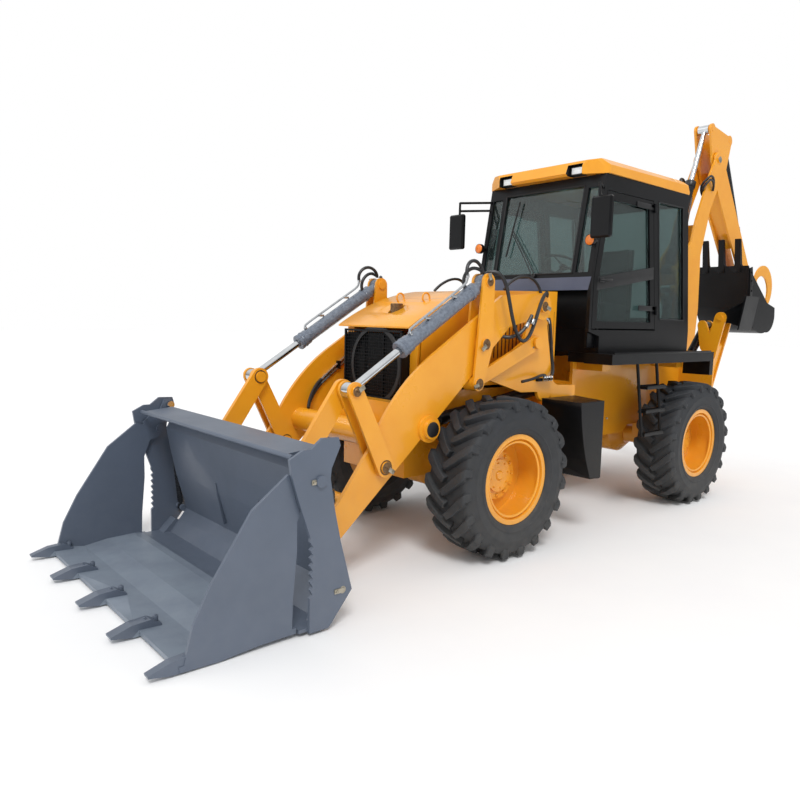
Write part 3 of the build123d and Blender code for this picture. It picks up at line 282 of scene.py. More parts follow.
def spread(name: str, piece: Piece, matrices: Iterable[Matrix]) -> Piece:
    """Repeat a piece at each matrix, the first model taken away, and join the copies."""
    copies = [moved_copy(piece, matrix) for matrix in matrices]
    bpy.data.objects.remove(piece)
    return join(name, copies)


MIRROR_Y = Matrix.Scale(-1, 4, Vector((0, 1, 0)))


def both_sides(name: str, pieces: Sequence[Piece]) -> Piece:
    """Join pieces modelled on the left with their twins on the right."""
    twins = [moved_copy(piece, MIRROR_Y) for piece in pieces]
    return join(name, [*pieces, *twins])


def shift(x: float = 0.0, y: float = 0.0, z: float = 0.0) -> Matrix:
    """A move in millimetres."""
    return Matrix.Translation(Vector((x, y, z)) * MM)


def turned(angle: float, axis: str, centre: Point) -> Matrix:
    """A turn in degrees about an axis through a point."""
    middle = Matrix.Translation(at(*centre))
    return middle @ Matrix.Rotation(math.radians(angle), 4, axis) @ middle.inverted()


# ---------------------------------------------------------------- finishes


class Slot(Enum):
    """The record's material slots."""

    YELLOW = "machine_yellow"
    SLATE = "bucket_slate"
    BLACK = "black_paint"
    RUBBER = "tyre_rubber"
    PIN = "pin_steel"
    FILM = "film_grey"
    GLASS = "cab_glass"
    CHROME = "chrome_rod"
    SEAT = "seat_vinyl"


def linear(colour: str) -> tuple[float, float, float, float]:
    """Turn an sRGB hex colour into the linear values that shaders take."""
    parts = [int(colour[k:k + 2], 16) / 255 for k in (1, 3, 5)]
    return (*(c / 12.92 if c <= 0.04045 else ((c + 0.055) / 1.055) ** 2.4 for c in parts), 1.0)


def add(tree: Tree, kind: str, links: dict[str | int, Socket] | None = None,
        **settings: object) -> bpy.types.Node:
    """Add one node.

    Args:
        tree: The material's node tree.
        kind: Node type, without its "ShaderNode" prefix.
        links: Input name or number to the socket that feeds it.
        settings: Node properties, or input values by name with _ for a space.

    Returns:
        The node.
    """
    node = tree.nodes.new("ShaderNode" + kind)
    for key, value in settings.items():
        if hasattr(node, key):
            setattr(node, key, value)
        else:
            node.inputs[key.replace("_", " ")].default_value = value
    for key, socket in (links or {}).items():
        tree.links.new(socket, node.inputs[key])
    return node


@dataclass(frozen=True)
class Finish:
    """A finish: a base shader with mottled colour, uneven gloss and a fine relief.

    patch and grain are real sizes in millimetres; stretch squeezes the relief's pattern along X, Y and Z.
    """

    name: str
    colour: str
    shade: str
    roughness: float
    rougher: float
    patch: float = 260.0
    grain: float = 4.0
    relief: float = 0.05
    metallic: float = 0.0
    coat: float = 0.0
    transmission: float = 0.0
    ior: float | None = None
    stretch: Point = (1.0, 1.0, 1.0)
    slot: Slot = Slot.BLACK

    def material(self) -> bpy.types.Material:
        """Build the material once and hand it out after that."""
        found = bpy.data.materials.get(self.name)
        if found is not None:
            return found
        material = bpy.data.materials.new(self.name)
        material.use_nodes = True
        tree = material.node_tree
        shader = tree.nodes["Principled BSDF"]
        place = add(tree, "TexCoord").outputs["Object"]
        patches = add(tree, "TexNoise", {"Vector": place}, Scale=1 / (self.patch * MM), Detail=4.0,
                      Roughness=0.55)
        blend = add(tree, "MapRange", {0: patches.outputs[0]}, From_Min=0.35, From_Max=0.7)
        colours = add(tree, "Mix", {0: blend.outputs[0]}, data_type="RGBA")
        colours.inputs[6].default_value = linear(self.colour)
        colours.inputs[7].default_value = linear(self.shade)
        tree.links.new(self.dusted(tree, place, colours.outputs[2]), shader.inputs["Base Color"])
        gloss = add(tree, "MapRange", {0: patches.outputs[0]}, From_Min=0.3, From_Max=0.75,
                    To_Min=self.roughness, To_Max=self.rougher)
        tree.links.new(gloss.outputs[0], shader.inputs["Roughness"])
        squeezed = add(tree, "Mapping", {"Vector": place}, Scale=self.stretch)
        relief = self.relief_height(tree, squeezed.outputs[0])
        bump = add(tree, "Bump", {"Height": relief}, Strength=0.6, Distance=self.relief * MM * 10)
        tree.links.new(bump.outputs[0], shader.inputs["Normal"])
        shader.inputs["Metallic"].default_value = self.metallic
        shader.inputs["Coat Weight"].default_value = self.coat
        shader.inputs["Coat Roughness"].default_value = 0.08
        shader.inputs["Transmission Weight"].default_value = self.transmission
        if self.ior is not None:
            shader.inputs["IOR"].default_value = self.ior
        return material

    def dusted(self, tree: Tree, place: Socket, colour: Socket) -> Socket:
        """Leave the colour as it is; finishes that gather dust change it."""
        return colour

    def relief_height(self, tree: Tree, place: Socket) -> Socket:
        """Give the fine relief's height: an even grain."""
        return add(tree, "TexNoise", {"Vector": place}, Scale=1 / (self.grain * MM), Detail=2.0).outputs[0]


@dataclass(frozen=True)
class Enamel(Finish):
    """Sprayed machine enamel: glossy, faintly orange-peeled, with road dust gathering low down."""

    dust: str = "#9A8D78"
    dust_amount: float = 0.22

    def dusted(self, tree: Tree, place: Socket, colour: Socket) -> Socket:
        """Add dust that thins out over the first metre above the ground, broken up by noise."""
        height = add(tree, "SeparateXYZ", {0: place}).outputs[2]
        low = add(tree, "MapRange", {0: height}, From_Min=0.1, From_Max=1.1, To_Min=self.dust_amount,
                  To_Max=0.0)
        spots = add(tree, "TexNoise", {"Vector": place}, Scale=1 / (70 * MM), Detail=6.0)
        amount = add(tree, "Math", {0: low.outputs[0], 1: spots.outputs[0]}, operation="MULTIPLY")
        mixed = add(tree, "Mix", {0: amount.outputs[0], 6: colour}, data_type="RGBA")
        mixed.inputs[7].default_value = linear(self.dust)
        return mixed.outputs[2]


@dataclass(frozen=True)
class Wrap(Finish):
    """Stretch film wound round a cylinder: soft shine broken by long creases."""

    def relief_height(self, tree: Tree, place: Socket) -> Socket:
        """Give creases: a warped noise with sharp ridges."""
        creases = add(tree, "TexNoise", {"Vector": place}, noise_type="RIDGED_MULTIFRACTAL",
                      Scale=1 / (self.grain * MM), Detail=3.0, Distortion=1.5)
        return creases.outputs[0]


# Sprayed alkyd enamel over steel, the machine's own orange-yellow: bright, even, with a clear gloss.
YELLOW = Enamel("machine enamel yellow", "#EDA21E", "#E89A18", 0.26, 0.38, coat=0.35, ior=1.5,
                slot=Slot.YELLOW)
# The same enamel in slate grey on the bucket: satin, with brush-marks of handling.
SLATE = Enamel("bucket enamel slate", "#566070", "#515B6A", 0.36, 0.46, patch=420, coat=0.12, ior=1.5,
               dust="#8C8D90", dust_amount=0.14, slot=Slot.SLATE)
# The bucket's floor, its enamel rubbed pale by what slides over it.
FLOOR_SLATE = Enamel("bucket floor rubbed slate", "#77828F", "#6C7684", 0.4, 0.55, patch=200, ior=1.5,
                     stretch=(0.2, 1.0, 1.0), dust="#8C8D90", dust_amount=0.15, slot=Slot.SLATE)
# Sprayed black enamel on platforms, tanks and cab frame: deep black with a soft shine.
BLACK = Enamel("black enamel", "#0B0C0E", "#101114", 0.3, 0.42, ior=1.3, dust_amount=0.08)
# Powder coat on the cowl panel: blue-grey and faintly grainy.
COWL = Enamel("cowl powder coat slate", "#565D72", "#4D5468", 0.4, 0.5, grain=3, ior=1.5)
# Carbon-black vulcanised rubber, moulded: charcoal, dull, paler where the mould powder stays.
RUBBER = Enamel("tyre rubber", "#1F2226", "#2A2D32", 0.6, 0.78, patch=90, grain=6, relief=0.08,
                dust="#77736B", dust_amount=0.3, slot=Slot.RUBBER)
# Synthetic rubber hose over wire braid: black with a low shine.
HOSE = Finish("hydraulic hose rubber", "#16171A", "#24262A", 0.38, 0.5, patch=60, grain=3, relief=0.06,
              ior=1.52)
# Grey-blue polyethylene film left on the new cylinders: crinkled, with a wet shine.
FILM = Wrap("cylinder film grey", "#747D8A", "#5D6572", 0.1, 0.24, patch=22, grain=26, relief=1.1, ior=1.5,
            stretch=(0.6, 1.0, 1.4), slot=Slot.FILM)
# Black polyethylene film on the digging arm's cylinders.
DARK_FILM = Wrap("cylinder film black", "#101114", "#1E2024", 0.2, 0.38, patch=60, grain=45, relief=0.4,
                 ior=1.5)
# Zinc-plated steel with a yellow passivation: keepers, bolts and pins.
ZINC = Finish("zinc plated steel", "#B7B1A2", "#9C9686", 0.28, 0.45, patch=30, grain=2, relief=0.02,
              metallic=1.0, slot=Slot.PIN)
# Hard chrome, ground and polished: a mirror with faint grinding lines.
CHROME = Finish("hard chrome", "#D5D8DA", "#C6C9CC", 0.07, 0.14, patch=50, grain=1.5, relief=0.01,
                metallic=1.0, slot=Slot.CHROME)
# Stainless fittings and bent steel tube: bright, brushed.
STEEL = Finish("fitting steel", "#C4C6C8", "#A9ACAF", 0.22, 0.36, patch=40, grain=2, relief=0.02,
               metallic=1.0, slot=Slot.PIN)
# Oiled and rubbed pin ends: brown, half bare steel.
BROWN_STEEL = Finish("greased pin steel", "#8A6A48", "#5F4A36", 0.35, 0.55, patch=18, grain=3, relief=0.05,
                     metallic=0.8, slot=Slot.PIN)
# Moulded black ABS with a leather-like grain: mirrors, handles, levers.
PLASTIC = Finish("black moulded plastic", "#111214", "#17181B", 0.42, 0.55, patch=120, grain=2.5,
                 relief=0.08, ior=1.49)
# Extruded gasket rubber round the panes: dead black.
GASKET = Finish("gasket rubber", "#121315", "#1B1C1F", 0.6, 0.72, patch=90, grain=3, relief=0.04, ior=1.52)
# Toughened float glass, green tint: dark teal with clean reflections.
GLASS = Finish("tinted safety glass", "#93AAA9", "#8CA3A1", 0.0, 0.0, patch=600, grain=300, relief=0.002,
               transmission=0.95, ior=1.45, slot=Slot.GLASS)
# Ribbed polycarbonate lamp lens: nearly clear, white.
LENS = Finish("lamp lens polycarbonate", "#EEF2F4", "#DDE4E8", 0.08, 0.14, patch=30, grain=6, relief=0.25,
              ior=1.58, stretch=(1.0, 1.0, 0.15), slot=Slot.GLASS)
# Dyed polycarbonate over the turn signals.
AMBER = Finish("signal lens amber", "#F08A2C", "#E0701A", 0.1, 0.18, patch=20, grain=5, relief=0.2,
               ior=1.58, slot=Slot.GLASS)
# Coated fabric and vinyl on the seat: charcoal, soft grain.
SEAT_CLOTH = Finish("seat vinyl", "#2B2D31", "#35383D", 0.55, 0.7, patch=80, grain=2.2, relief=0.15,
                    ior=1.5, slot=Slot.SEAT)


def dress(piece: Piece, body: str, finish: Finish, smooth: float = 35.0) -> Piece:
    """Finish a piece: smooth shading by angle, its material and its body.

    Args:
        piece: The modelled piece.
        body: The CAD body it rides on.
        finish: Its finish.
        smooth: Angle in degrees up to which neighbouring faces are shaded smooth.

    Returns:
        The same piece.
    """
    choose(piece)
    bpy.ops.object.shade_smooth_by_angle(angle=math.radians(smooth))
    piece.data.materials.clear()
    piece.data.materials.append(finish.material())
    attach(piece, body)
    LOG.info("piece %s rides on %s in %s", piece.name, body, finish.name)
    return piece


def coat_node(node: str, finish: Finish, rounding: float = 0.0) -> None:
    """Give a CAD node its finish and, where asked, a live rounding of its edges in millimetres."""
    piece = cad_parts[node]
    piece.data.materials.clear()
    piece.data.materials.append(finish.material())
    if rounding:
        weld = piece.modifiers.new("Weld", "WELD")
        weld.merge_threshold = 1e-5
        bevel = piece.modifiers.new("Bevel", "BEVEL")
        bevel.width = rounding * MM
        bevel.segments = 2
        bevel.limit_method = "ANGLE"
        bevel.angle_limit = math.radians(30)
        bevel.harden_normals = False


def paint_faces(node: str, finish: Finish, wanted: Callable[[Sequence[Vector]], bool]) -> None:
    """Give a second finish to the faces of a CAD node whose corners pass a test."""
    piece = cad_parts[node]
    piece.data.materials.append(finish.material())
    index = len(piece.data.materials) - 1
    corners = [vertex.co for vertex in piece.data.vertices]
    for face in piece.data.polygons:
        if wanted([corners[k] for k in face.vertices]):
            face.material_index = index


# ---------------------------------------------------------------- wheels


@dataclass
class Tyres:
    """Four chevron-treaded tyres on the CAD wheels, one modelled and the others copied from it."""

    radius: float = 587.5
    rim_radius: float = 327.5
    bead_radius: float = 305.5
    flange_half: float = 166.0
    lugs_per_side: int = 20
    reach: float = 168.0
    lug_width: float = 33.0
    lug_taper: float = 10.0
    lug_depth: float = 52.0
    wall_share: float = 0.38
    wall_drop: float = 74.0
    undercut: float = 20.0
    lean: float = 80.0
    crown: float = 13.0
    overlap: float = 8.0
    shoulder: float = 186.0

    def lug(self, side: int) -> Piece:
        """Model one lug under the axle, from the middle over the shoulder; side is 1 on the left."""
        clear()
        bpy.ops.mesh.primitive_cube_add(size=2)
        piece = newest(f"lug_{side}")
        choose(piece)
        bpy.ops.object.mode_set(mode="EDIT")
        bpy.ops.mesh.select_all(action="DESELECT")
        bpy.ops.object.mode_set(mode="OBJECT")
        for edge in piece.data.edges:
            a, b = (piece.data.vertices[k].co for k in edge.vertices)
            edge.select = abs(a.y - b.y) > 1
        bpy.ops.object.mode_set(mode="EDIT")
        bpy.ops.mesh.select_mode(type="EDGE")
        bpy.ops.mesh.subdivide(number_cuts=7)
        bpy.ops.object.mode_set(mode="OBJECT")
        for vertex in piece.data.vertices:
            across, run, height = vertex.co.x, (vertex.co.y + 1) / 2, (vertex.co.z + 1) / 2
            vertex.co = self.wrapped(across, run * (1 + self.wall_share), height, side)
        even_normals(piece)
        return soften(piece, 3.5, 1)

    def wrapped(self, across: float, run: float, height: float, side: int) -> Vector:
        """Lay a lug's point on the tyre.

        Args:
            across: From -1 to 1 over the lug's width.
            run: From 0 at the middle of the tread to 1 at the shoulder and on down the wall.
            height: From 0 at the lug's foot to 1 at its face.
            side: 1 for the left half of the tread, -1 for the right.

        Returns:
            The point of the frame, on a tyre about the front axle's centre line.
        """
        width = (self.lug_width - self.lug_taper * height) * (0.85 + 0.3 * min(run, 1))
        tread = min(run, 1.0)
        ahead = self.reach * tread ** 1.15 + 22 * max(run - 1, 0)
        over = max(run - 1, 0) / self.wall_share
        sideways = -self.overlap + (self.shoulder + self.overlap) * tread + 11 * min(over * 2, 1)
        radius = self.radius - self.crown * tread ** 2 - self.wall_drop * over
        slope = 0.55 if run < 1 else 0.1
        ahead += across * width
        sideways -= across * width * slope
        lean = min(max((run - 0.9) / 0.2, 0), 1) * math.radians(self.lean)
        radius -= (1 - height) * self.lug_depth * math.cos(lean)
        sideways -= (1 - height) * self.undercut * math.sin(lean)
        turn = ahead / self.radius
        return at(radius * math.sin(turn), side * sideways, AXLE_HEIGHT - radius * math.cos(turn))

    def build(self) -> None:
        """Model the tyre and place one on each wheel."""
        flange = self.flange_half
        wall = [(self.bead_radius, flange - 18), (self.rim_radius + 1, flange - 15),
                (self.rim_radius + 2, flange), (338, flange + 12), (352, 187), (366, 190), (372, 196),
                (380, 196), (386, 192), (440, 199), (446, 200), (454, 200), (460, 195), (500, 190),
                (522, 180), (536, 166), (542, 150), (545, 110)]
        section = [(r, y) for r, y in wall] + [(r, -y) for r, y in reversed(wall)]
        carcass = lathe("carcass", section, (0, 0, AXLE_HEIGHT), ACROSS, 96)
        step = 360 / self.lugs_per_side
        rows = []
        for side in (1, -1):
            turns = [turned(k * step + side * step / 4, "Y", (0, 0, AXLE_HEIGHT))
                     for k in range(self.lugs_per_side)]
            rows.append(spread(f"lugs_{side}", self.lug(side), turns))
        tyre = join("tyre", [carcass, *rows])
        for place in ("front", "rear"):
            for hand in ("left", "right"):
                node = f"tyre_{place}_{hand}"
                low, high = (Vector(corner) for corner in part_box(node))
                middle = (low + high) / 2
                move = Matrix.Translation((middle.x - FRONT_AXLE_X, middle.y, 0))
                copy = moved_copy(tyre, move)
                copy.name = copy.data.name = f"treaded_{node}"
                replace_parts(dress(copy, f"wheel_{place}_{hand}", RUBBER, smooth=40), node)
        bpy.data.objects.remove(tyre)


@dataclass
class Hubs:
    """Wheel bolts and the hub's cover on each wheel, modelled on the left front one."""

    rim_face: float = 785.0
    dish: float = 142.0
    bolt_circle: float = 152.0
    bolts: int = 12
    cover_circle: float = 96.0
    cover_bolts: int = 8

    def bolt(self, radius: float, face: float, size: float) -> Piece:
        """Model one hexagon bolt with its stud end above the axle."""
        foot = (0, face, AXLE_HEIGHT + radius)
        head = rod("head", foot, (0, face + size * 0.75, foot[2]), size, sides=6, bevel=1.2)
        stud = rod("stud", foot, (0, face + size * 1.25, foot[2]), size * 0.5, sides=12, bevel=1)
        return join("bolt", [head, stud])

    def around(self, count: int, start: float = 0.0) -> list[Matrix]:
        """Give the turns about the axle that spread a bolt over its circle."""
        return [turned(360 * k / count + start, "Y", (0, 0, AXLE_HEIGHT)) for k in range(count)]

    def build(self) -> None:
        """Model one wheel's bolts and copy them to the four wheels."""
        cover = self.rim_face + 5
        ring = spread("ring", self.bolt(self.bolt_circle, self.rim_face - 15, 13), self.around(self.bolts))
        small = spread("small", self.bolt(self.cover_circle, cover, 8), self.around(self.cover_bolts, 10))
        section = [(0, 2), (0, 16), (26, 16), (34, 10), (38, 2)]
        plug = lathe("plug", section, (0, cover - 3, AXLE_HEIGHT), ACROSS, 32)
        lip = lathe("lip", [(262, 0), (262, 9), (268, 13), (276, 13), (280, 9), (280, 0)],
                    (0, self.rim_face + self.dish, AXLE_HEIGHT), ACROSS, 64)
        left = join("wheel_bolts", [ring, small, plug, lip])
        for place, x in (("front", 0.0), ("rear", -WHEELBASE)):
            for hand, matrix in (("left", shift(x)), ("right", MIRROR_Y @ shift(x))):
                copy = moved_copy(left, matrix)
                copy.name = copy.data.name = f"wheel_bolts_{place}_{hand}"
                dress(copy, f"wheel_{place}_{hand}", YELLOW)
        bpy.data.objects.remove(left)


# ---------------------------------------------------------------- loader


@dataclass(frozen=True)
class Pin:
    """A pin whose end shows: its name, place, outer end's station, radius, body and keeper's direction."""

    name: str
    place: Flat
    face: float
    radius: float
    body: str
    angle: float = 0.0

    def strap(self, back: float, ahead: float, half: float, under: float, over: float) -> Piece:
        """Lay a strap along X over the pin's end, from under its face to over it."""
        x, z = self.place
        outline = [(x - back, z - half), (x + ahead, z - half), (x + ahead, z + half), (x - back, z + half)]
        return plate("strap", outline, self.face + under, self.face + over)


@dataclass
class LoaderTrim:
    """Pin ends, keepers, pipes and hoses of the loader linkage, modelled on the left and mirrored."""

    lever_foot: Flat = (124.0, 1256.0)
    lever_top: Flat = (54.0, 1989.0)
    crank_top: Flat = (1236.0, 1256.0)
    lift_pin: Flat = (575.0, 960.0)
    tilt_y: float = 610.0
    line_y: float = 582.0
    line_drop: float = 34.0

    def keeper(self, pin: Pin) -> None:
        """Model a pin's end disc with its grease nipple, its keeper plate and the keeper's bolt."""
        (x, z), face, radius = pin.place, pin.face, pin.radius
        section = [(0, 0), (0, 5), (radius * 0.55, 5), (radius * 0.62, 3), (radius - 4, 3), (radius, 0)]
        disc = lathe("disc", section, (x, face - 0.5, z), ACROSS, 32)
        nipple = rod("nipple", (x, face + 3, z), (x, face + 13, z), 4.5, 3, sides=8, bevel=0.8)
        dress(both_sides(f"{pin.name}_pin_end", [disc, nipple]), pin.body, BROWN_STEEL)
        way = Vector((math.cos(math.radians(pin.angle)), math.sin(math.radians(pin.angle))))
        across = Vector((-way.y, way.x)) * 15
        foot, head, tip = (Vector(pin.place) + way * far for far in (radius * 0.35, radius + 14, radius + 26))
        outline = [foot + across, tip + across, tip - across, foot - across]
        strap = plate("strap", outline, face + 1, face + 9)
        bolt = rod("bolt", (head.x, face + 8, head.y), (head.x, face + 13, head.y), 9, sides=6, bevel=1)
        dress(both_sides(f"{pin.name}_keeper", [strap, bolt]), pin.body, ZINC)

    def pins(self) -> None:
        """Model every pin end of the linkage, the lift pin's cap and the lever's spacer."""
        for pin in (Pin("boom_pivot", (-630, 1832), 650, 40, "front_body", 200),
                    Pin("link_anchor", (-575, 1546), 614, 40, "front_body", -40),
                    Pin("lever_mid", (69, 1542), 682, 40, "loader_boom_body", -40),
                    Pin("lever_foot", self.lever_foot, 678, 40, "lever_body", -20),
                    Pin("lever_top", self.lever_top, 682, 34, "lever_body", 75),
                    Pin("crank_pivot", (981, 744), 682, 40, "loader_boom_body", 215),
                    Pin("crank_top", self.crank_top, 684, 34, "bell_crank_body", 150),
                    Pin("bucket_pivot", (1480, 270), 680, 40, "tip_pin_body", 150)):
            self.keeper(pin)
        x, z = self.lift_pin
        cap = lathe("cap", [(0, 0), (0, 10), (44, 10), (52, 6), (54, 0)], (x, 675, z), ACROSS, 40)
        dress(both_sides("lift_pin_caps", [cap]), "loader_boom_body", PLASTIC)
        x, z = self.lever_foot
        sleeve = lathe("sleeve", [(44, 0), (44, 72), (54, 68), (54, 4)], (x, 573, z), ACROSS, 32)
        dress(both_sides("lever_foot_spacers", [sleeve]), "lever_body", YELLOW)

    def tilt_ram(self) -> None:
        """Model the tilt ram's gland, steel line, clamps, port and hoses on its barrel."""
        foot, eye = Vector(self.lever_top), Vector(self.crank_top)
        along = (eye - foot).normalized()
        up = Vector((-along.y, along.x))

        def on(distance: float, rise: float, side: float = 0.0) -> Point:
            """Give a point beside the barrel: along it, above it and across."""
            spot = foot + along * distance + up * rise
            return (spot.x, self.tilt_y + side, spot.y)

        axis = (along.x, 0, along.y)
        section = [(30, 0), (30, 62), (56, 62), (62, 56), (62, 38), (58, 34), (58, 16), (63, 10), (61, 0)]
        gland = lathe("gland", section, on(866, 0), axis, 40)
        foot_ring = lathe("foot_ring", [(50, 0), (50, 30), (57, 26), (57, 4)], on(150, 0), axis, 40)
        dress(both_sides("tilt_glands", [gland, foot_ring]), "tilt_barrel_body", FILM)
        line = ((800, 52), (800, 74), (780, 84), (560, 84), (360, 84), (190, 84), (160, 98), (140, 120))
        route = [on(distance, rise, 18) for distance, rise in line]
        steel = [pipe("line", route, 9, smooth=False),
                 rod("port", on(800, 44, 18), on(800, 66, 18), 16, sides=6)]
        steel += [block("clamp", on(far - 14, 50, 2), on(far + 14, 88, 34), 2) for far in (620, 330)]
        dress(both_sides("tilt_steel_lines", steel), "tilt_barrel_body", STEEL)
        nut = rod("nut", on(144, 112, 18), on(134, 134, 18), 14, sides=6)
        dress(both_sides("tilt_hose_nuts", [nut]), "tilt_barrel_body", STEEL)
        high = ((138, 128, 18), (128, 168, 14), (60, 205, 4), (-30, 160, -6), (-44, 84, -8), (-30, 58, 0))
        low = ((172, 50, -14), (168, 100, -20), (96, 150, -24), (10, 130, -18), (-24, 80, -6))
        hoses = pipes(13, *([on(*spot) for spot in route] for route in (high, low)))
        dress(both_sides("tilt_hoses", hoses), "tilt_barrel_body", HOSE)

    def boom_lines(self) -> None:
        """Model the steel lines down the inner face of each boom arm, with their clips and lower hoses."""
        y = self.line_y
        lines = [[(-560, 1800), (-420, 1812), (-160, 1790), (180, 1560), (480, 1330), (640, 1210)],
                 [(-560, 1766), (-420, 1778), (-160, 1756), (180, 1526), (480, 1296), (640, 1176)]]
        runs = pipes(10, *([(x, y, z) for x, z in line] for line in lines), smooth=False)
        dress(both_sides("boom_steel_lines", runs), "loader_boom_body", STEEL)
        clips = [block("clip", (x - 16, y - 12, z - 50), (x + 16, 596, z + 16), 3)
                 for x, z in ((-300, 1805), (120, 1605), (470, 1340))]
        dress(both_sides("boom_line_clips", clips), "loader_boom_body", BLACK)
        ends = pipes(13, *([(640, y, 1210 - drop), (700, y, 1165 - drop), (780, y - 40, 1080 - drop),
                            (820, y - 90, 1000)] for drop in (0, self.line_drop)))
        dress(both_sides("boom_lower_hoses", ends), "loader_boom_body", HOSE)

    def tower_hoses(self) -> None:
        """Model the hoses and elbows that hang between the towers and the valves in front of the cab."""
        outer = [(-800, 556, 1742), (-822, 556, 1700), (-832, 560, 1600), (-846, 566, 1440),
                 (-846, 590, 1330), (-810, 612, 1270), (-730, 622, 1262)]
        inner = [(-800, 530, 1690), (-820, 530, 1640), (-832, 530, 1520), (-850, 534, 1380),
                 (-856, 536, 1240)]
        forward = [(-700, 622, 1286), (-640, 640, 1296), (-560, 660, 1280), (-470, 662, 1262),
                   (-380, 650, 1250)]
        over = [(-790, 500, 1850), (-838, 460, 1880), (-850, 420, 1990), (-760, 400, 2080),
                (-600, 392, 2080), (-470, 396, 2010), (-420, 400, 1960)]
        hoses = [*pipes(14, outer, inner), *pipes(12, forward, over)]
        dress(both_sides("tower_hoses", hoses), "front_body", HOSE)
        valve = block("valve", (-800, 574, 1236), (-640, 604, 1262), 4)
        dress(both_sides("tower_valve_blocks", [valve]), "front_body", BLACK)
        fittings = []
        for y, z in ((556, 1850), (530, 1800), (556, 1742), (530, 1690)):
            bend = [(-716, y, z), (-770, y, z + 2), (-800, y, z - 6), (-808, y, z - 40)]
            fittings += [pipe("elbow", bend, 11), rod("nut", (-722, y, z), (-744, y, z), 17, sides=6)]
        for x in (-790, -760, -730, -700):
            fittings += [rod("nut", (x, 604, 1250), (x, 622, 1254), 15, sides=6),
                         rod("ferrule", (x, 622, 1254), (x + 26, 634, 1276), 12, sides=20)]
        dress(both_sides("tower_fittings", fittings), "front_body", STEEL)

    def pivot_hoses(self) -> None:
        """Model the slack hoses that hang beside the boom's pivot, with their ferrules."""
        long = [(30, 596, 2046), (-10, 650, 2078), (-70, 700, 2040), (-120, 706, 1900), (-170, 708, 1720),
                (-250, 710, 1560), (-350, 708, 1560), (-430, 704, 1680), (-500, 700, 1850), (-560, 692, 1930),
                (-640, 660, 1950), (-700, 600, 1900)]
        short = [(-120, 560, 1640), (-180, 600, 1580), (-260, 690, 1590), (-330, 706, 1660),
                 (-400, 704, 1760)]
        dress(both_sides("pivot_hoses", pipes(14, long, short)), "loader_boom_body", HOSE)
        ends = [rod("ferrule", start, end, 18, 16, sides=20, bevel=2) for start, end in (
            ((-400, 704, 1690), (-420, 704, 1730)), ((-330, 706, 1668), (-356, 705, 1700)))]
        dress(both_sides("pivot_hose_ends", ends), "loader_boom_body", STEEL)

    def build(self) -> None:
        """Model every pin end, the tilt ram's fittings and the hoses."""
        self.pins()
        self.tilt_ram()
        self.boom_lines()
        self.tower_hoses()
        self.pivot_hoses()


@dataclass
class BucketTrim:
    """Tooth bolts, wear lip, ribs, pin ends and clam-ram hoses of the loader bucket."""

    teeth: tuple[float, ...] = (-1036.0, -525.0, 0.0, 525.0, 1036.0)
    rib: tuple[Flat, ...] = ((1690, 560), (1712, 556), (1700, 470), (1650, 250), (1628, 256), (1676, 470))

    def build(self) -> None:
        """Model the bucket's small parts."""
        bolt = rod("bolt", (2462, 0, 60), (2462, 0, 92), 15, sides=20, bevel=2)
        dimple = rod("dimple", (2462, 0, 90), (2462, 0, 97), 8, sides=6, bevel=0.8)
        places = [shift(x, y, z) for y in self.teeth for x, z in ((0, -4), (60, -6))]
        dress(spread("tooth_bolts", join("pair", [bolt, dimple]), places), "clam_body", SLATE)
        lip = rod("lip", (1926, -1040, 978), (1926, 1040, 978), 14, sides=20)
        dress(join("blade_lip", [lip]), "loader_bucket_body", SLATE)
        ribs = [plate("rib", self.rib, y, y + 14) for y in (-300, 286)]
        dress(join("blade_ribs", ribs), "loader_bucket_body", SLATE)
        for pin in (Pin("clam_pivot", (1788, 845), 1098, 32, "loader_bucket_body"),
                    Pin("clam_ram_foot", (1634, 213), 1098, 30, "loader_bucket_body")):
            (x, z), face, radius = pin.place, pin.face, pin.radius
            section = [(0, 0), (0, 5), (radius * 0.6, 5), (radius, 1), (radius, 0)]
            disc = lathe("disc", section, (x, face - 2, z), ACROSS, 32)
            strap = pin.strap(12, 58, 14, 1, 8)
            bolt = rod("bolt", (x + 42, face + 7, z), (x + 42, face + 15, z), 10, sides=6, bevel=1)
            dress(both_sides(f"{pin.name}_keeper", [disc, strap, bolt]), pin.body, ZINC)
        rear = [(1622, 962, 320), (1590, 955, 330), (1560, 930, 380), (1562, 920, 520), (1600, 930, 640),
                (1640, 940, 690), (1668, 950, 700)]
        front = [(1628, 965, 700), (1600, 945, 740), (1560, 900, 720), (1540, 870, 640), (1560, 850, 560)]
        dress(both_sides("clam_hoses", pipes(9, rear, front)), "loader_bucket_body", HOSE)


# ---------------------------------------------------------------- hood


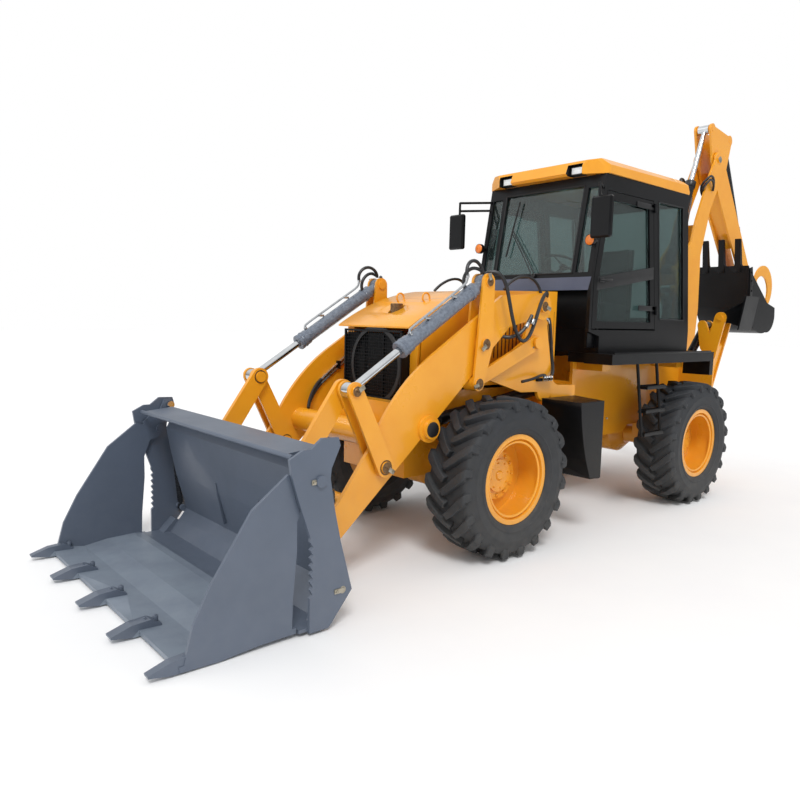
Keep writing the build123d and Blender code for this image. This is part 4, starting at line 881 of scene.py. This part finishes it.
@dataclass
class HoodTrim:
    """Front mesh, fan shroud, exhaust, seams, louvres and latches of the engine hood."""

    half: float = 420.0
    front: float = 578.0
    mesh_half: float = 328.0
    mesh_low: float = 1130.0
    mesh_high: float = 1612.0
    wire: float = 2.4
    uprights: int = 27
    levels: int = 21

    def mesh_screen(self) -> None:
        """Model the woven wire screen in front of the radiator, in its frame."""
        x, half, low, high = self.front, self.mesh_half, self.mesh_low, self.mesh_high
        upright = rod("wire", (x, -half, low), (x, -half, high), self.wire, sides=6, bevel=0)
        level = rod("wire", (x + 3, -half, low), (x + 3, half, low), self.wire, sides=6, bevel=0)
        woven = [spread("uprights", upright, [shift(0, 2 * half * k / (self.uprights - 1), 0)
                                              for k in range(self.uprights)]),
                 spread("levels", level, [shift(0, 0, (high - low) * k / (self.levels - 1))
                                          for k in range(self.levels)])]
        bars = [block("bar", (572, y - 8, 1122), (590, y + 8, 1622), 2) for y in (-334, 334)]
        bars += [block("bar", (572, -342, z - 8), (590, 342, z + 8), 2) for z in (1124, 1618)]
        dress(join("grille_screen", [*woven, *bars]), "front_body", BLACK)

    def build(self) -> None:
        """Model the hood's parts."""
        self.mesh_screen()
        section = [(262, 0), (262, 14), (290, 14), (296, 8), (296, 0)]
        shroud = lathe("shroud", section, (573, 40, 1365), AHEAD, 48)
        dress(join("fan_shroud", [shroud]), "front_body", PLASTIC)
        section = [(36, -60), (36, 22), (42, 26), (48, 22), (48, -60)]
        stack = lathe("stack", section, (350, 0, 1800), UPWARDS, 36)
        dress(join("exhaust_tip", [stack]), "front_body", BROWN_STEEL)
        y = self.half
        seams = [block("seam", (x - 2, y - 1, 1225), (x + 2, y + 0.8, 1800), 0.4) for x in (-150, -1050)]
        dress(both_sides("hood_seams", seams), "front_body", GASKET)
        latches = []
        for x in (-60, -950):
            latches += [block("latch", (x - 38, y, 1290), (x + 38, y + 9, 1330), 4),
                        block("grip", (x - 22, y + 8, 1300), (x + 22, y + 17, 1320), 4)]
        dress(both_sides("hood_latches", latches), "front_body", PLASTIC)
        slats = [block("slat", (x, y - 2, 1420), (x + 10, y + 3, 1700), 2) for x in range(-880, -300, 44)]
        dress(both_sides("hood_louvres", slats), "front_body", GASKET)


# ---------------------------------------------------------------- cab


@dataclass
class CabTrim:
    """Lamps, mirrors, wiper, door furniture, lower panels and gaskets of the cab; the lower panels are black,
    painted shade of the cab's interior.
    """

    half: float = 640.0
    lamp_y: float = 385.0
    hinge_lean: float = 0.136
    hinges: tuple[float, ...] = (150.0, 1060.0)
    quarter: tuple[Flat, ...] = ((-2380, 1760), (-2235, 2830), (-2690, 2830), (-2840, 1760), (-2380, 1760))

    def panels(self) -> None:
        """Model the black kick panels beside the feet and the black wall in front of them, painted shade that
        darkens the view into the cab's low front.
        """
        # Painted shade: partly real cab panels, these black pieces stand in for the shaded interior seen
        # through the low front glass.
        kick = block("kick", (-1400, 574, 1502), (-1284, 600, 1988), 4)
        dress(both_sides("kick_panels_painted_shade", [kick]), "rear_body", BLACK)
        wall = block("wall", (-1438, -604, 1500), (-1406, 604, 2018), 3)
        dress(join("footwell_painted_shade_wall", [wall]), "rear_body", BLACK)

    def lamps(self) -> None:
        """Model the roof lamps' lenses and rims and the side signals' lenses."""
        lenses, rims, rear = [], [], []
        for y in (-self.lamp_y, self.lamp_y):
            edge = y - 60
            lenses.append(block("lens", (-1322, y - 52, 2980), (-1314, y + 52, 3034), 3))
            rims += [block("rim", (-1326, edge, z), (-1312, y + 60, z + 6), 1.5) for z in (2972, 3034)]
            rims += [block("rim", (-1326, side, 2974), (-1312, side + 6, 3038), 1.5)
                     for side in (edge, edge + 114)]
            rear.append(block("lens", (-2792, y - 50, 2990), (-2784, y + 50, 3040), 3))
        dress(join("roof_lamp_lenses", lenses), "rear_body", LENS)
        dress(join("roof_lamp_rims", rims), "rear_body", PLASTIC)
        dress(join("rear_lamp_lenses", rear), "rear_body", LENS)
        amber = lathe("amber", [(0, 0), (0, 14), (26, 12), (38, 6), (42, 0)], (-1205, 626, 2400), AHEAD, 36)
        dress(both_sides("signal_lenses", [amber]), "rear_body", AMBER)

    def wiper(self) -> None:
        """Model the windscreen wiper, with its twin arms, parked at a slant."""
        spindle = rod("spindle", (-1250, 40, 2116), (-1218, 40, 2120), 14, bevel=2)
        arms = pipes(5, [(-1220, 56, 2120), (-1226, 30, 2170), (-1270, -140, 2380), (-1298, -288, 2556)],
                     [(-1220, 20, 2120), (-1228, 0, 2170), (-1272, -165, 2370), (-1298, -292, 2530)])
        edge = [(-1262, -326, 2310), (-1282, -308, 2430), (-1318, -276, 2650), (-1346, -252, 2813)]
        dress(join("wiper", [spindle, *arms, pipe("blade", edge, 8)]), "rear_body", PLASTIC)

    def mirrors(self) -> None:
        """Model the mirror glasses and the clamps behind them."""
        glass = block("glass", (-1119, 730, 2408), (-1114, 890, 2708), 2)
        dress(both_sides("mirror_glasses", [glass]), "rear_body", CHROME)
        knobs = [rod("knob", (-1110, 780, z), (-1080, 780, z), 20, 14) for z in (2520, 2600)]
        dress(both_sides("mirror_clamps", knobs), "rear_body", PLASTIC)

    def door(self) -> None:
        """Model each door's slanted band, strap hinges and handle."""
        y, lean = self.half, self.hinge_lean
        for hand in ("left", "right"):
            band = [(-1325, 1990), (-1335, 2100), (-2225, 2240), (-2232, 2130)]
            pieces = [plate("band", band, y - 29, y + 1, 3)]
            for up in self.hinges:
                low, high = (-2330 + lean * up, y, 1685 + up), (-2010 + lean * up, y + 10, 1733 + up)
                pieces.append(block("strap", low, high, 4))
            grip = [(-1365, y + 12, 2078), (-1370, y + 40, 2078), (-1430, y + 50, 2082),
                    (-1500, y + 44, 2086), (-1506, y + 14, 2088)]
            pieces += [block("base", (-1420, y, 2060), (-1350, y + 12, 2100), 5), pipe("grip", grip, 9)]
            fittings = join(f"door_{hand}_fittings", pieces)
            if hand == "right":
                fittings.data.transform(MIRROR_Y)
                fittings.data.flip_normals()
            dress(fittings, f"door_{hand}_body", PLASTIC)

    def gaskets(self) -> None:
        """Model the gasket lines round the windscreen and the rear quarter panes."""
        screen = [[(-1246, y, 2142), (-1372, y, 2876)] for y in (-434, 434)]
        screen += [[(x, -440, z), (x, 440, z)] for z, x in ((2136, -1244), (2884, -1371))]
        corners = [(a, b, y) for a, b in zip(self.quarter, self.quarter[1:]) for y in (self.half, -self.half)]
        panes = [[(a[0], y, a[1]), (b[0], y, b[1])] for a, b, y in corners]
        lines = [*pipes(7, *screen, smooth=False), *pipes(6, *panes, smooth=False)]
        dress(join("pane_gaskets", lines), "rear_body", GASKET)

    def build(self) -> None:
        """Model the cab's parts."""
        self.panels()
        self.lamps()
        self.wiper()
        self.mirrors()
        self.door()
        self.gaskets()


@dataclass
class OperatorStation:
    """Seat, console, column, steering wheel and levers, standing for the CAD operator station."""

    wheel: Flat = (-1720.0, 2235.0)
    wheel_radius: float = 190.0
    spoke_length: float = 186.0
    column_lean: Point = (-0.5, 0.0, 0.87)
    cuts: int = 14
    seam_width: float = 0.05
    side_pull: float = 9.0
    fill: float = 0.7

    def cushion(self, name: str, low: Point, high: Point, crown: float, channels: Sequence[float]) -> Piece:
        """Model a crowned cushion whose sides pull in between its corners, with sewn channels across.

        Args:
            name: Name of the piece.
            low: Lowest corner.
            high: Highest corner.
            crown: How far the thick direction swells.
            channels: Shares of the length at which seams are sewn.

        Returns:
            The cushion.
        """
        clear()
        bpy.ops.mesh.primitive_cube_add(size=2)
        piece = newest(name)
        bpy.ops.object.mode_set(mode="EDIT")
        bpy.ops.mesh.select_all(action="SELECT")
        bpy.ops.mesh.subdivide(number_cuts=self.cuts)
        bpy.ops.object.mode_set(mode="OBJECT")
        a, b = Vector(low), Vector(high)
        middle, size = (a + b) / 2, (b - a) / 2
        thin = min(range(3), key=lambda k: size[k])
        broad, long = (k for k in range(3) if k != thin)
        for vertex in piece.data.vertices:
            u = vertex.co.copy()
            bulge = (1 - u[broad] ** 4) * (1 - u[long] ** 4)
            seam = sum(math.exp(-((u[long] - (2 * share - 1)) / self.seam_width) ** 2) for share in channels)
            swell = crown * (bulge - 0.5 * seam) * (1 if abs(u[thin]) > 0.99 else 0.4)
            spot = Vector(u[k] * size[k] for k in range(3))
            spot[thin] = u[thin] * (size[thin] * (0.62 + 0.38 * bulge) + swell)
            for k, other in ((broad, long), (long, broad)):
                spot[k] -= u[k] * abs(u[k]) ** 3 * self.side_pull * (1 - u[other] ** 2)
            vertex.co = at(*(middle + spot))
        even_normals(piece)
        apply_modifier(piece, "SUBSURF", levels=1, render_levels=1)
        return piece

    def controls(self, deck: float) -> None:
        """Model the seat's base, the console, the column and the levers on the deck."""
        shell = [(-2552, deck + 240), (-2560, 2440), (-2535, 2446), (-2500, deck + 250)]
        console = [(-1620, deck + 1), (-1445, deck + 1), (-1445, 2100), (-1480, 2146), (-1600, 2120)]
        pieces = [
            block("pedestal", (-2420, -190, deck + 1), (-2080, 190, deck + 190), 12),
            block("pan", (-2490, -240, deck + 188), (-2010, 240, deck + 250), 18),
            plate("shell", shell, -225, 225, 6),
            plate("console", console, -176, 176, 14),
            rod("column", (-1560, 0, 2110), (self.wheel[0] + 8, 0, self.wheel[1] - 14), 26, 20)]
        for x, y, foot in ((-1650, 120, 2050), (-1650, 150, 2050), (-1900, 290, 1900), (-1900, 330, 1900)):
            pieces += [rod("stem", (x, y, foot), (x - 20, y, 2120), 6, 5, sides=12),
                       rod("knob", (x - 19, y, 2112), (x - 23, y, 2150), 15, 11, sides=20, bevel=5)]
        pieces.append(block("side_box", (-2250, 270, deck + 1), (-1860, 370, 1905), 16))
        station = join("operator_controls", pieces)
        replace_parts(dress(station, "rear_body", PLASTIC), "operator_station")

    def steering_wheel(self) -> None:
        """Model the steering wheel's rim, hub and three spokes."""
        x, z = self.wheel
        middle = Vector((x, 0, z))
        lean = Vector(self.column_lean)
        normal, spoke = lean.normalized(), Vector((lean.z, 0, -lean.x)) * self.spoke_length
        clear()
        bpy.ops.mesh.primitive_torus_add(
            major_radius=self.wheel_radius * MM, minor_radius=12 * MM, major_segments=48, minor_segments=12,
            location=at(x, 0, z), rotation=normal.to_track_quat("Z", "Y").to_euler())
        rim = newest("rim")
        hub = rod("hub", tuple(middle - normal * 14), tuple(middle + normal * 12), 44, 36, bevel=5)
        tips = [middle + Matrix.Rotation(math.radians(angle), 3, normal) @ spoke for angle in (0, 120, 240)]
        spokes = [rod("spoke", tuple(middle), tuple(tip), 9, 8, sides=12) for tip in tips]
        dress(join("steering_wheel", [rim, hub, *spokes]), "rear_body", PLASTIC)

    def build(self) -> None:
        """Model the station and its padded seat."""
        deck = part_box("operator_station")[0][2] / MM
        self.controls(deck)
        self.steering_wheel()
        bottom = self.cushion("seat_cushion", (-2500, -238, deck + 244), (-2020, 238, deck + 350), 16,
                              (0.25, 0.5, 0.75))
        back = self.cushion("seat_back", (-2540, -225, deck + 350), (-2440, 225, 2446), 14, (0.3, 0.6))
        for piece in (bottom, back):
            dress(piece, "rear_body", SEAT_CLOTH, smooth=60)


# ---------------------------------------------------------------- chassis and digging arm


@dataclass
class ChassisTrim:
    """Step treads, tank bolts, rails and tread ribs along the chassis."""

    steps: tuple[float, ...] = (1160.0, 950.0, 745.0)
    step_top: float = 1370.0
    ladder_lean: float = 0.12

    def build(self) -> None:
        """Model the chassis parts."""
        treads = []
        for z in self.steps:
            y = 800 + (self.step_top - z) * self.ladder_lean
            treads += [block("edge", (-2052, y + 2, z + 11), (-1748, y + 12, z + 20), 2),
                       block("edge", (-2052, 918, z + 11), (-1748, 928, z + 20), 2)]
            treads += [block("tooth", (x, y + 14, z + 11), (x + 8, 916, z + 17), 1.5)
                       for x in range(-2040, -1756, 30)]
        dress(both_sides("step_treads", treads), "rear_body", BLACK)
        bolt = rod("bolt", (-1120, 500, 940), (-1120, 500, 952), 9, sides=6, bevel=1)
        places = [(x, y) for x in (0, 200, 400) for y in (0, 140, 300, 440) if x + y < 700]
        bolts = spread("bolts", bolt, [shift(x, y) for x, y in places])
        dress(both_sides("tank_bolts", [bolts]), "front_body", ZINC)
        rails = [block("rail", (-3050, 836, 1452), (-1330, 846, 1470), 3),
                 block("rail", (-3050, 340, 1452), (-1420, 350, 1462), 3)]
        dress(both_sides("platform_rails", rails), "rear_body", BLACK)
        ribs = [block("rib", (x, 400, 1455), (x + 6, 820, 1459), 1.5) for x in range(-1700, -1420, 40)]
        dress(both_sides("platform_tread_ribs", ribs), "rear_body", BLACK)


@dataclass
class DiggerTrim:
    """Pin ends, hoses, steel tubes, side cutters and tooth adapters of the digging arm."""

    hose_out: float = 176.0
    cutter: tuple[Flat, ...] = ((-4960, 2420), (-5010, 2080), (-5080, 2090), (-5060, 2200), (-5090, 2230),
                                (-5030, 2440))

    def pins(self) -> None:
        """Model the pin ends with their keeper straps."""
        for pin in (Pin("digger_foot", (-3980, 1050), 147, 36, "swing_post_body"),
                    Pin("digger_elbow", (-4400, 3630), 145, 36, "backhoe_boom_body"),
                    Pin("digger_ram_eye", (-3660, 2120), 145, 28, "backhoe_boom_body"),
                    Pin("dipper_ram_foot", (-3640, 2330), 145, 28, "backhoe_boom_body"),
                    Pin("bucket_knuckle", (-5700, 2090), 140, 30, "dipper_body"),
                    Pin("idler_pin", (-5300, 2400), 140, 30, "dipper_body")):
            (x, z), face, radius = pin.place, pin.face, pin.radius
            section = [(0, 0), (0, 6), (radius * 0.6, 6), (radius, 2), (radius, 0)]
            disc = lathe("disc", section, (x, face - 1, z), ACROSS, 28)
            dress(both_sides(f"{pin.name}_pin_ends", [disc, pin.strap(8, 46, 12, -1, 7)]), pin.body, ZINC)

    def hoses(self) -> None:
        """Model the steel tubes up the boom and the hoses that loop outwards at its elbow."""
        routes = []
        for y, lift in ((90, 0), (64, 40), (-64, 26), (-90, 56)):
            out, end = (math.copysign(far, y) for far in (self.hose_out, self.hose_out - 30))
            routes.append([(-4190, y, 3210), (-4090, y, 3250 + lift), (-4070, out, 3320 + lift),
                           (-4150, out, 3390 + lift), (-4240, out, 3330 + lift), (-4270, end, 3260)])
        dress(join("elbow_hoses", pipes(13, *routes)), "backhoe_boom_body", HOSE)
        routes = [[(-4000, y, 1300), (-4040, y, 1700), (-4050, y, 2300), (-4090, y, 2760), (-4200, y, 3200)]
                  for y in (-90, -64, 64, 90)]
        dress(join("boom_steel_tubes", pipes(11, *routes, smooth=False)), "backhoe_boom_body", STEEL)

    def build(self) -> None:
        """Model the digging arm's parts."""
        self.pins()
        self.hoses()
        cutters = [plate("cutter", self.cutter, 328, 342, 3)]
        cutters += [rod("bolt", (x, 340, z), (x, 350, z), 13, sides=6, bevel=1)
                    for x, z in ((-5010, 2370), (-5030, 2270), (-5045, 2150))]
        dress(both_sides("side_cutters", cutters), "backhoe_bucket_body", BLACK)
        sleeves = [block("sleeve", (-4985, y - 42, 2370), (-4925, y + 42, 2470), 8) for y in (-200, 0, 200)]
        dress(join("digger_tooth_adapters", sleeves), "backhoe_bucket_body", BLACK)


# ---------------------------------------------------------------- CAD node finishes


@dataclass
class BodyFinishes:
    """Which finish each CAD node that stays visible takes, and how far its edges are rounded."""

    yellow: tuple[str, ...] = (
        "front_frame", "rear_frame", "front_axle", "rear_axle", "hood", "loader_boom", "levelling_levers",
        "levelling_links", "bell_cranks", "bucket_links", "swing_post", "backhoe_boom", "dipper",
        "bucket_idler", "curved_link", "stabiliser_leg_left", "stabiliser_leg_right", "rim_front_left",
        "rim_front_right", "rim_rear_left", "rim_rear_right", "cab_roof")
    black: tuple[str, ...] = (
        "platforms", "cab_frame", "door_left", "door_right", "side_tanks", "engine_radiator",
        "backhoe_bucket", "stabiliser_foot_left", "stabiliser_foot_right", "lift_barrels")
    dark_film: tuple[str, ...] = (
        "clam_ram_barrels", "backhoe_boom_ram_barrel", "backhoe_dipper_ram_barrel",
        "backhoe_bucket_ram_barrel", "stabiliser_ram_barrel_left", "stabiliser_ram_barrel_right")
    chrome: tuple[str, ...] = (
        "lift_rods", "tilt_rods", "clam_ram_rods", "backhoe_boom_ram_rod", "backhoe_dipper_ram_rod",
        "backhoe_bucket_ram_rod", "stabiliser_ram_rod_left", "stabiliser_ram_rod_right")
    pins: tuple[str, ...] = ("bell_crank_pins", "link_pins", "boom_tip_pins", "tilt_base_pins")
    pane: tuple[float, float] = (0.6115, 0.6185)
    cowl: tuple[float, float] = (1.985, 2.145)
    recess: tuple[float, float] = (0.309, 0.461)
    cowl_front: float = FRONT_AXLE_X - 1.2455
    recess_back: float = FRONT_AXLE_X - 1.3815
    recess_top: float = 3.064
    floor_top: float = 0.068
    floor_half: float = 1.05

    def build(self) -> None:
        """Finish every CAD node, then the panes, panel, lamp recesses and floor that differ within one."""
        for nodes, finish, rounding in (
                (self.yellow, YELLOW, 3.0), (self.black, BLACK, 2.5), (self.dark_film, DARK_FILM, 2.0),
                (self.chrome, CHROME, 0.0), (self.pins, BROWN_STEEL, 1.5), (("tilt_barrels",), FILM, 3.0),
                (("cab_glazing",), GLASS, 0.0), (("loader_bucket", "bucket_clam"), SLATE, 3.0)):
            for node in nodes:
                coat_node(node, finish, rounding)

        def is_pane(spot: Vector) -> bool:
            """Say whether a point lies on a door's pane."""
            return self.pane[0] < abs(spot.y) < self.pane[1]

        def is_cowl(spot: Vector) -> bool:
            """Say whether a point lies on the front of the panel under the windscreen."""
            return spot.x > self.cowl_front and self.cowl[0] < spot.z < self.cowl[1]

        def is_recess(spot: Vector) -> bool:
            """Say whether a point lies in the recess of the left roof lamp."""
            inner, outer = self.recess
            return spot.x > self.recess_back and spot.z < self.recess_top and inner < spot.y < outer

        for hand in ("left", "right"):
            paint_faces(f"door_{hand}", GLASS, lambda corners: all(map(is_pane, corners)))
        paint_faces("cab_frame", COWL, lambda corners: all(map(is_cowl, corners)))
        for side in (1, -1):
            paint_faces("cab_roof", PLASTIC, lambda corners, side=side: all(
                is_recess(Vector((spot.x, side * spot.y, spot.z))) for spot in corners))
        paint_faces("bucket_clam", FLOOR_SLATE, lambda corners: all(
            spot.z < self.floor_top and abs(spot.y) < self.floor_half for spot in corners))


# ---------------------------------------------------------------- studio


@dataclass
class Studio:
    """Floor, light and camera round the machine."""

    spot: Point = (5.5496, 4.1203, 1.7086)
    azimuth: float = 49.114
    fall: float = 6.580
    roll: float = 1.365
    lens: float = 31.61
    daylight: float = 0.78
    yard: float = 0.2
    beyond_glass: float = 0.5
    floor_half: float = 60.0

    def floor(self) -> None:
        """Lay the pale floor."""
        clear()
        bpy.ops.mesh.primitive_plane_add(size=2 * self.floor_half, location=(0, 0, -0.0005))
        ground = newest("studio_floor")
        ground.data.materials.append(Finish("studio floor paint", "#F6F6F6", "#F3F3F4", 0.85, 0.9,
                patch=900, grain=20, relief=0.01, ior=1.4).material())

    def world(self) -> None:
        """Light the scene from all round and show white behind it."""
        world = bpy.data.worlds.new("studio world")
        bpy.context.scene.world = world
        world.use_nodes = True
        tree = world.node_tree
        tree.nodes.clear()
        rays = add(tree, "LightPath")
        height = add(tree, "SeparateXYZ", {0: add(tree, "TexCoord").outputs["Generated"]}).outputs[2]
        yard = add(tree, "MapRange", {0: height}, From_Min=-0.05, From_Max=0.6, To_Min=self.yard, To_Max=1.0)
        lit = add(tree, "Mix", {0: rays.outputs["Is Glossy Ray"], 3: yard.outputs[0]}, data_type="FLOAT")
        lit.inputs[2].default_value = self.daylight
        through = add(tree, "Mix", {0: rays.outputs["Is Transmission Ray"], 2: lit.outputs[0]},
                      data_type="FLOAT")
        through.inputs[3].default_value = self.beyond_glass
        strength = add(tree, "Mix", {0: rays.outputs["Is Camera Ray"], 2: through.outputs[0]},
                       data_type="FLOAT")
        strength.inputs[3].default_value = 1.0
        sky = add(tree, "Background", {"Strength": strength.outputs[0]}, Color=(1.0, 1.0, 1.0, 1.0))
        add(tree, "OutputWorld", {"Surface": sky.outputs[0]})

    def lamps(self) -> None:
        """Hang the soft key light and a fill."""
        for name, aim, power, angle in (("key", (-0.55, -0.75, -1.15), 1.5, 18.0),
                ("fill", (-1.0, 0.35, -0.35), 0.5, 60.0)):
            light = bpy.data.lights.new(name, "SUN")
            light.energy = power
            light.angle = math.radians(angle)
            lamp = bpy.data.objects.new(name, light)
            lamp.rotation_euler = Vector(aim).to_track_quat("-Z", "Y").to_euler()
            bpy.context.collection.objects.link(lamp)

    def camera(self) -> None:
        """Set the camera at its station, looking down the machine's left front corner."""
        azimuth, fall, roll = (math.radians(v) for v in (self.azimuth, self.fall, self.roll))
        ahead = -Vector((math.cos(fall) * math.cos(azimuth), math.cos(fall) * math.sin(azimuth),
                         math.sin(fall)))
        right = ahead.cross(Vector((0, 0, 1))).normalized()
        up = right.cross(ahead)
        sideways = right * math.cos(roll) + up * math.sin(roll)
        upright = up * math.cos(roll) - right * math.sin(roll)
        data = bpy.data.cameras.new("camera")
        data.sensor_width = 36.0
        data.lens = self.lens
        data.clip_end = 200.0
        camera = bpy.data.objects.new("camera", data)
        bpy.context.collection.objects.link(camera)
        turn = Matrix((sideways, upright, -ahead)).transposed().to_4x4()
        camera.matrix_world = Matrix.Translation(self.spot) @ turn
        bpy.context.scene.camera = camera

    def build(self) -> None:
        """Set up the studio."""
        self.floor()
        self.world()
        self.lamps()
        self.camera()
        bpy.context.scene.view_settings.view_transform = "Standard"


def main() -> None:
    """Build every group in order."""
    logging.basicConfig(level=logging.INFO, format="%(message)s")
    for group in (Studio(), BodyFinishes(), Tyres(), Hubs(), LoaderTrim(), BucketTrim(), HoodTrim(),
                  CabTrim(), OperatorStation(), ChassisTrim(), DiggerTrim()):
        group.build()
        LOG.info("built %s", type(group).__name__)
    bpy.context.view_layer.update()


if __name__ == "__main__":
    main()
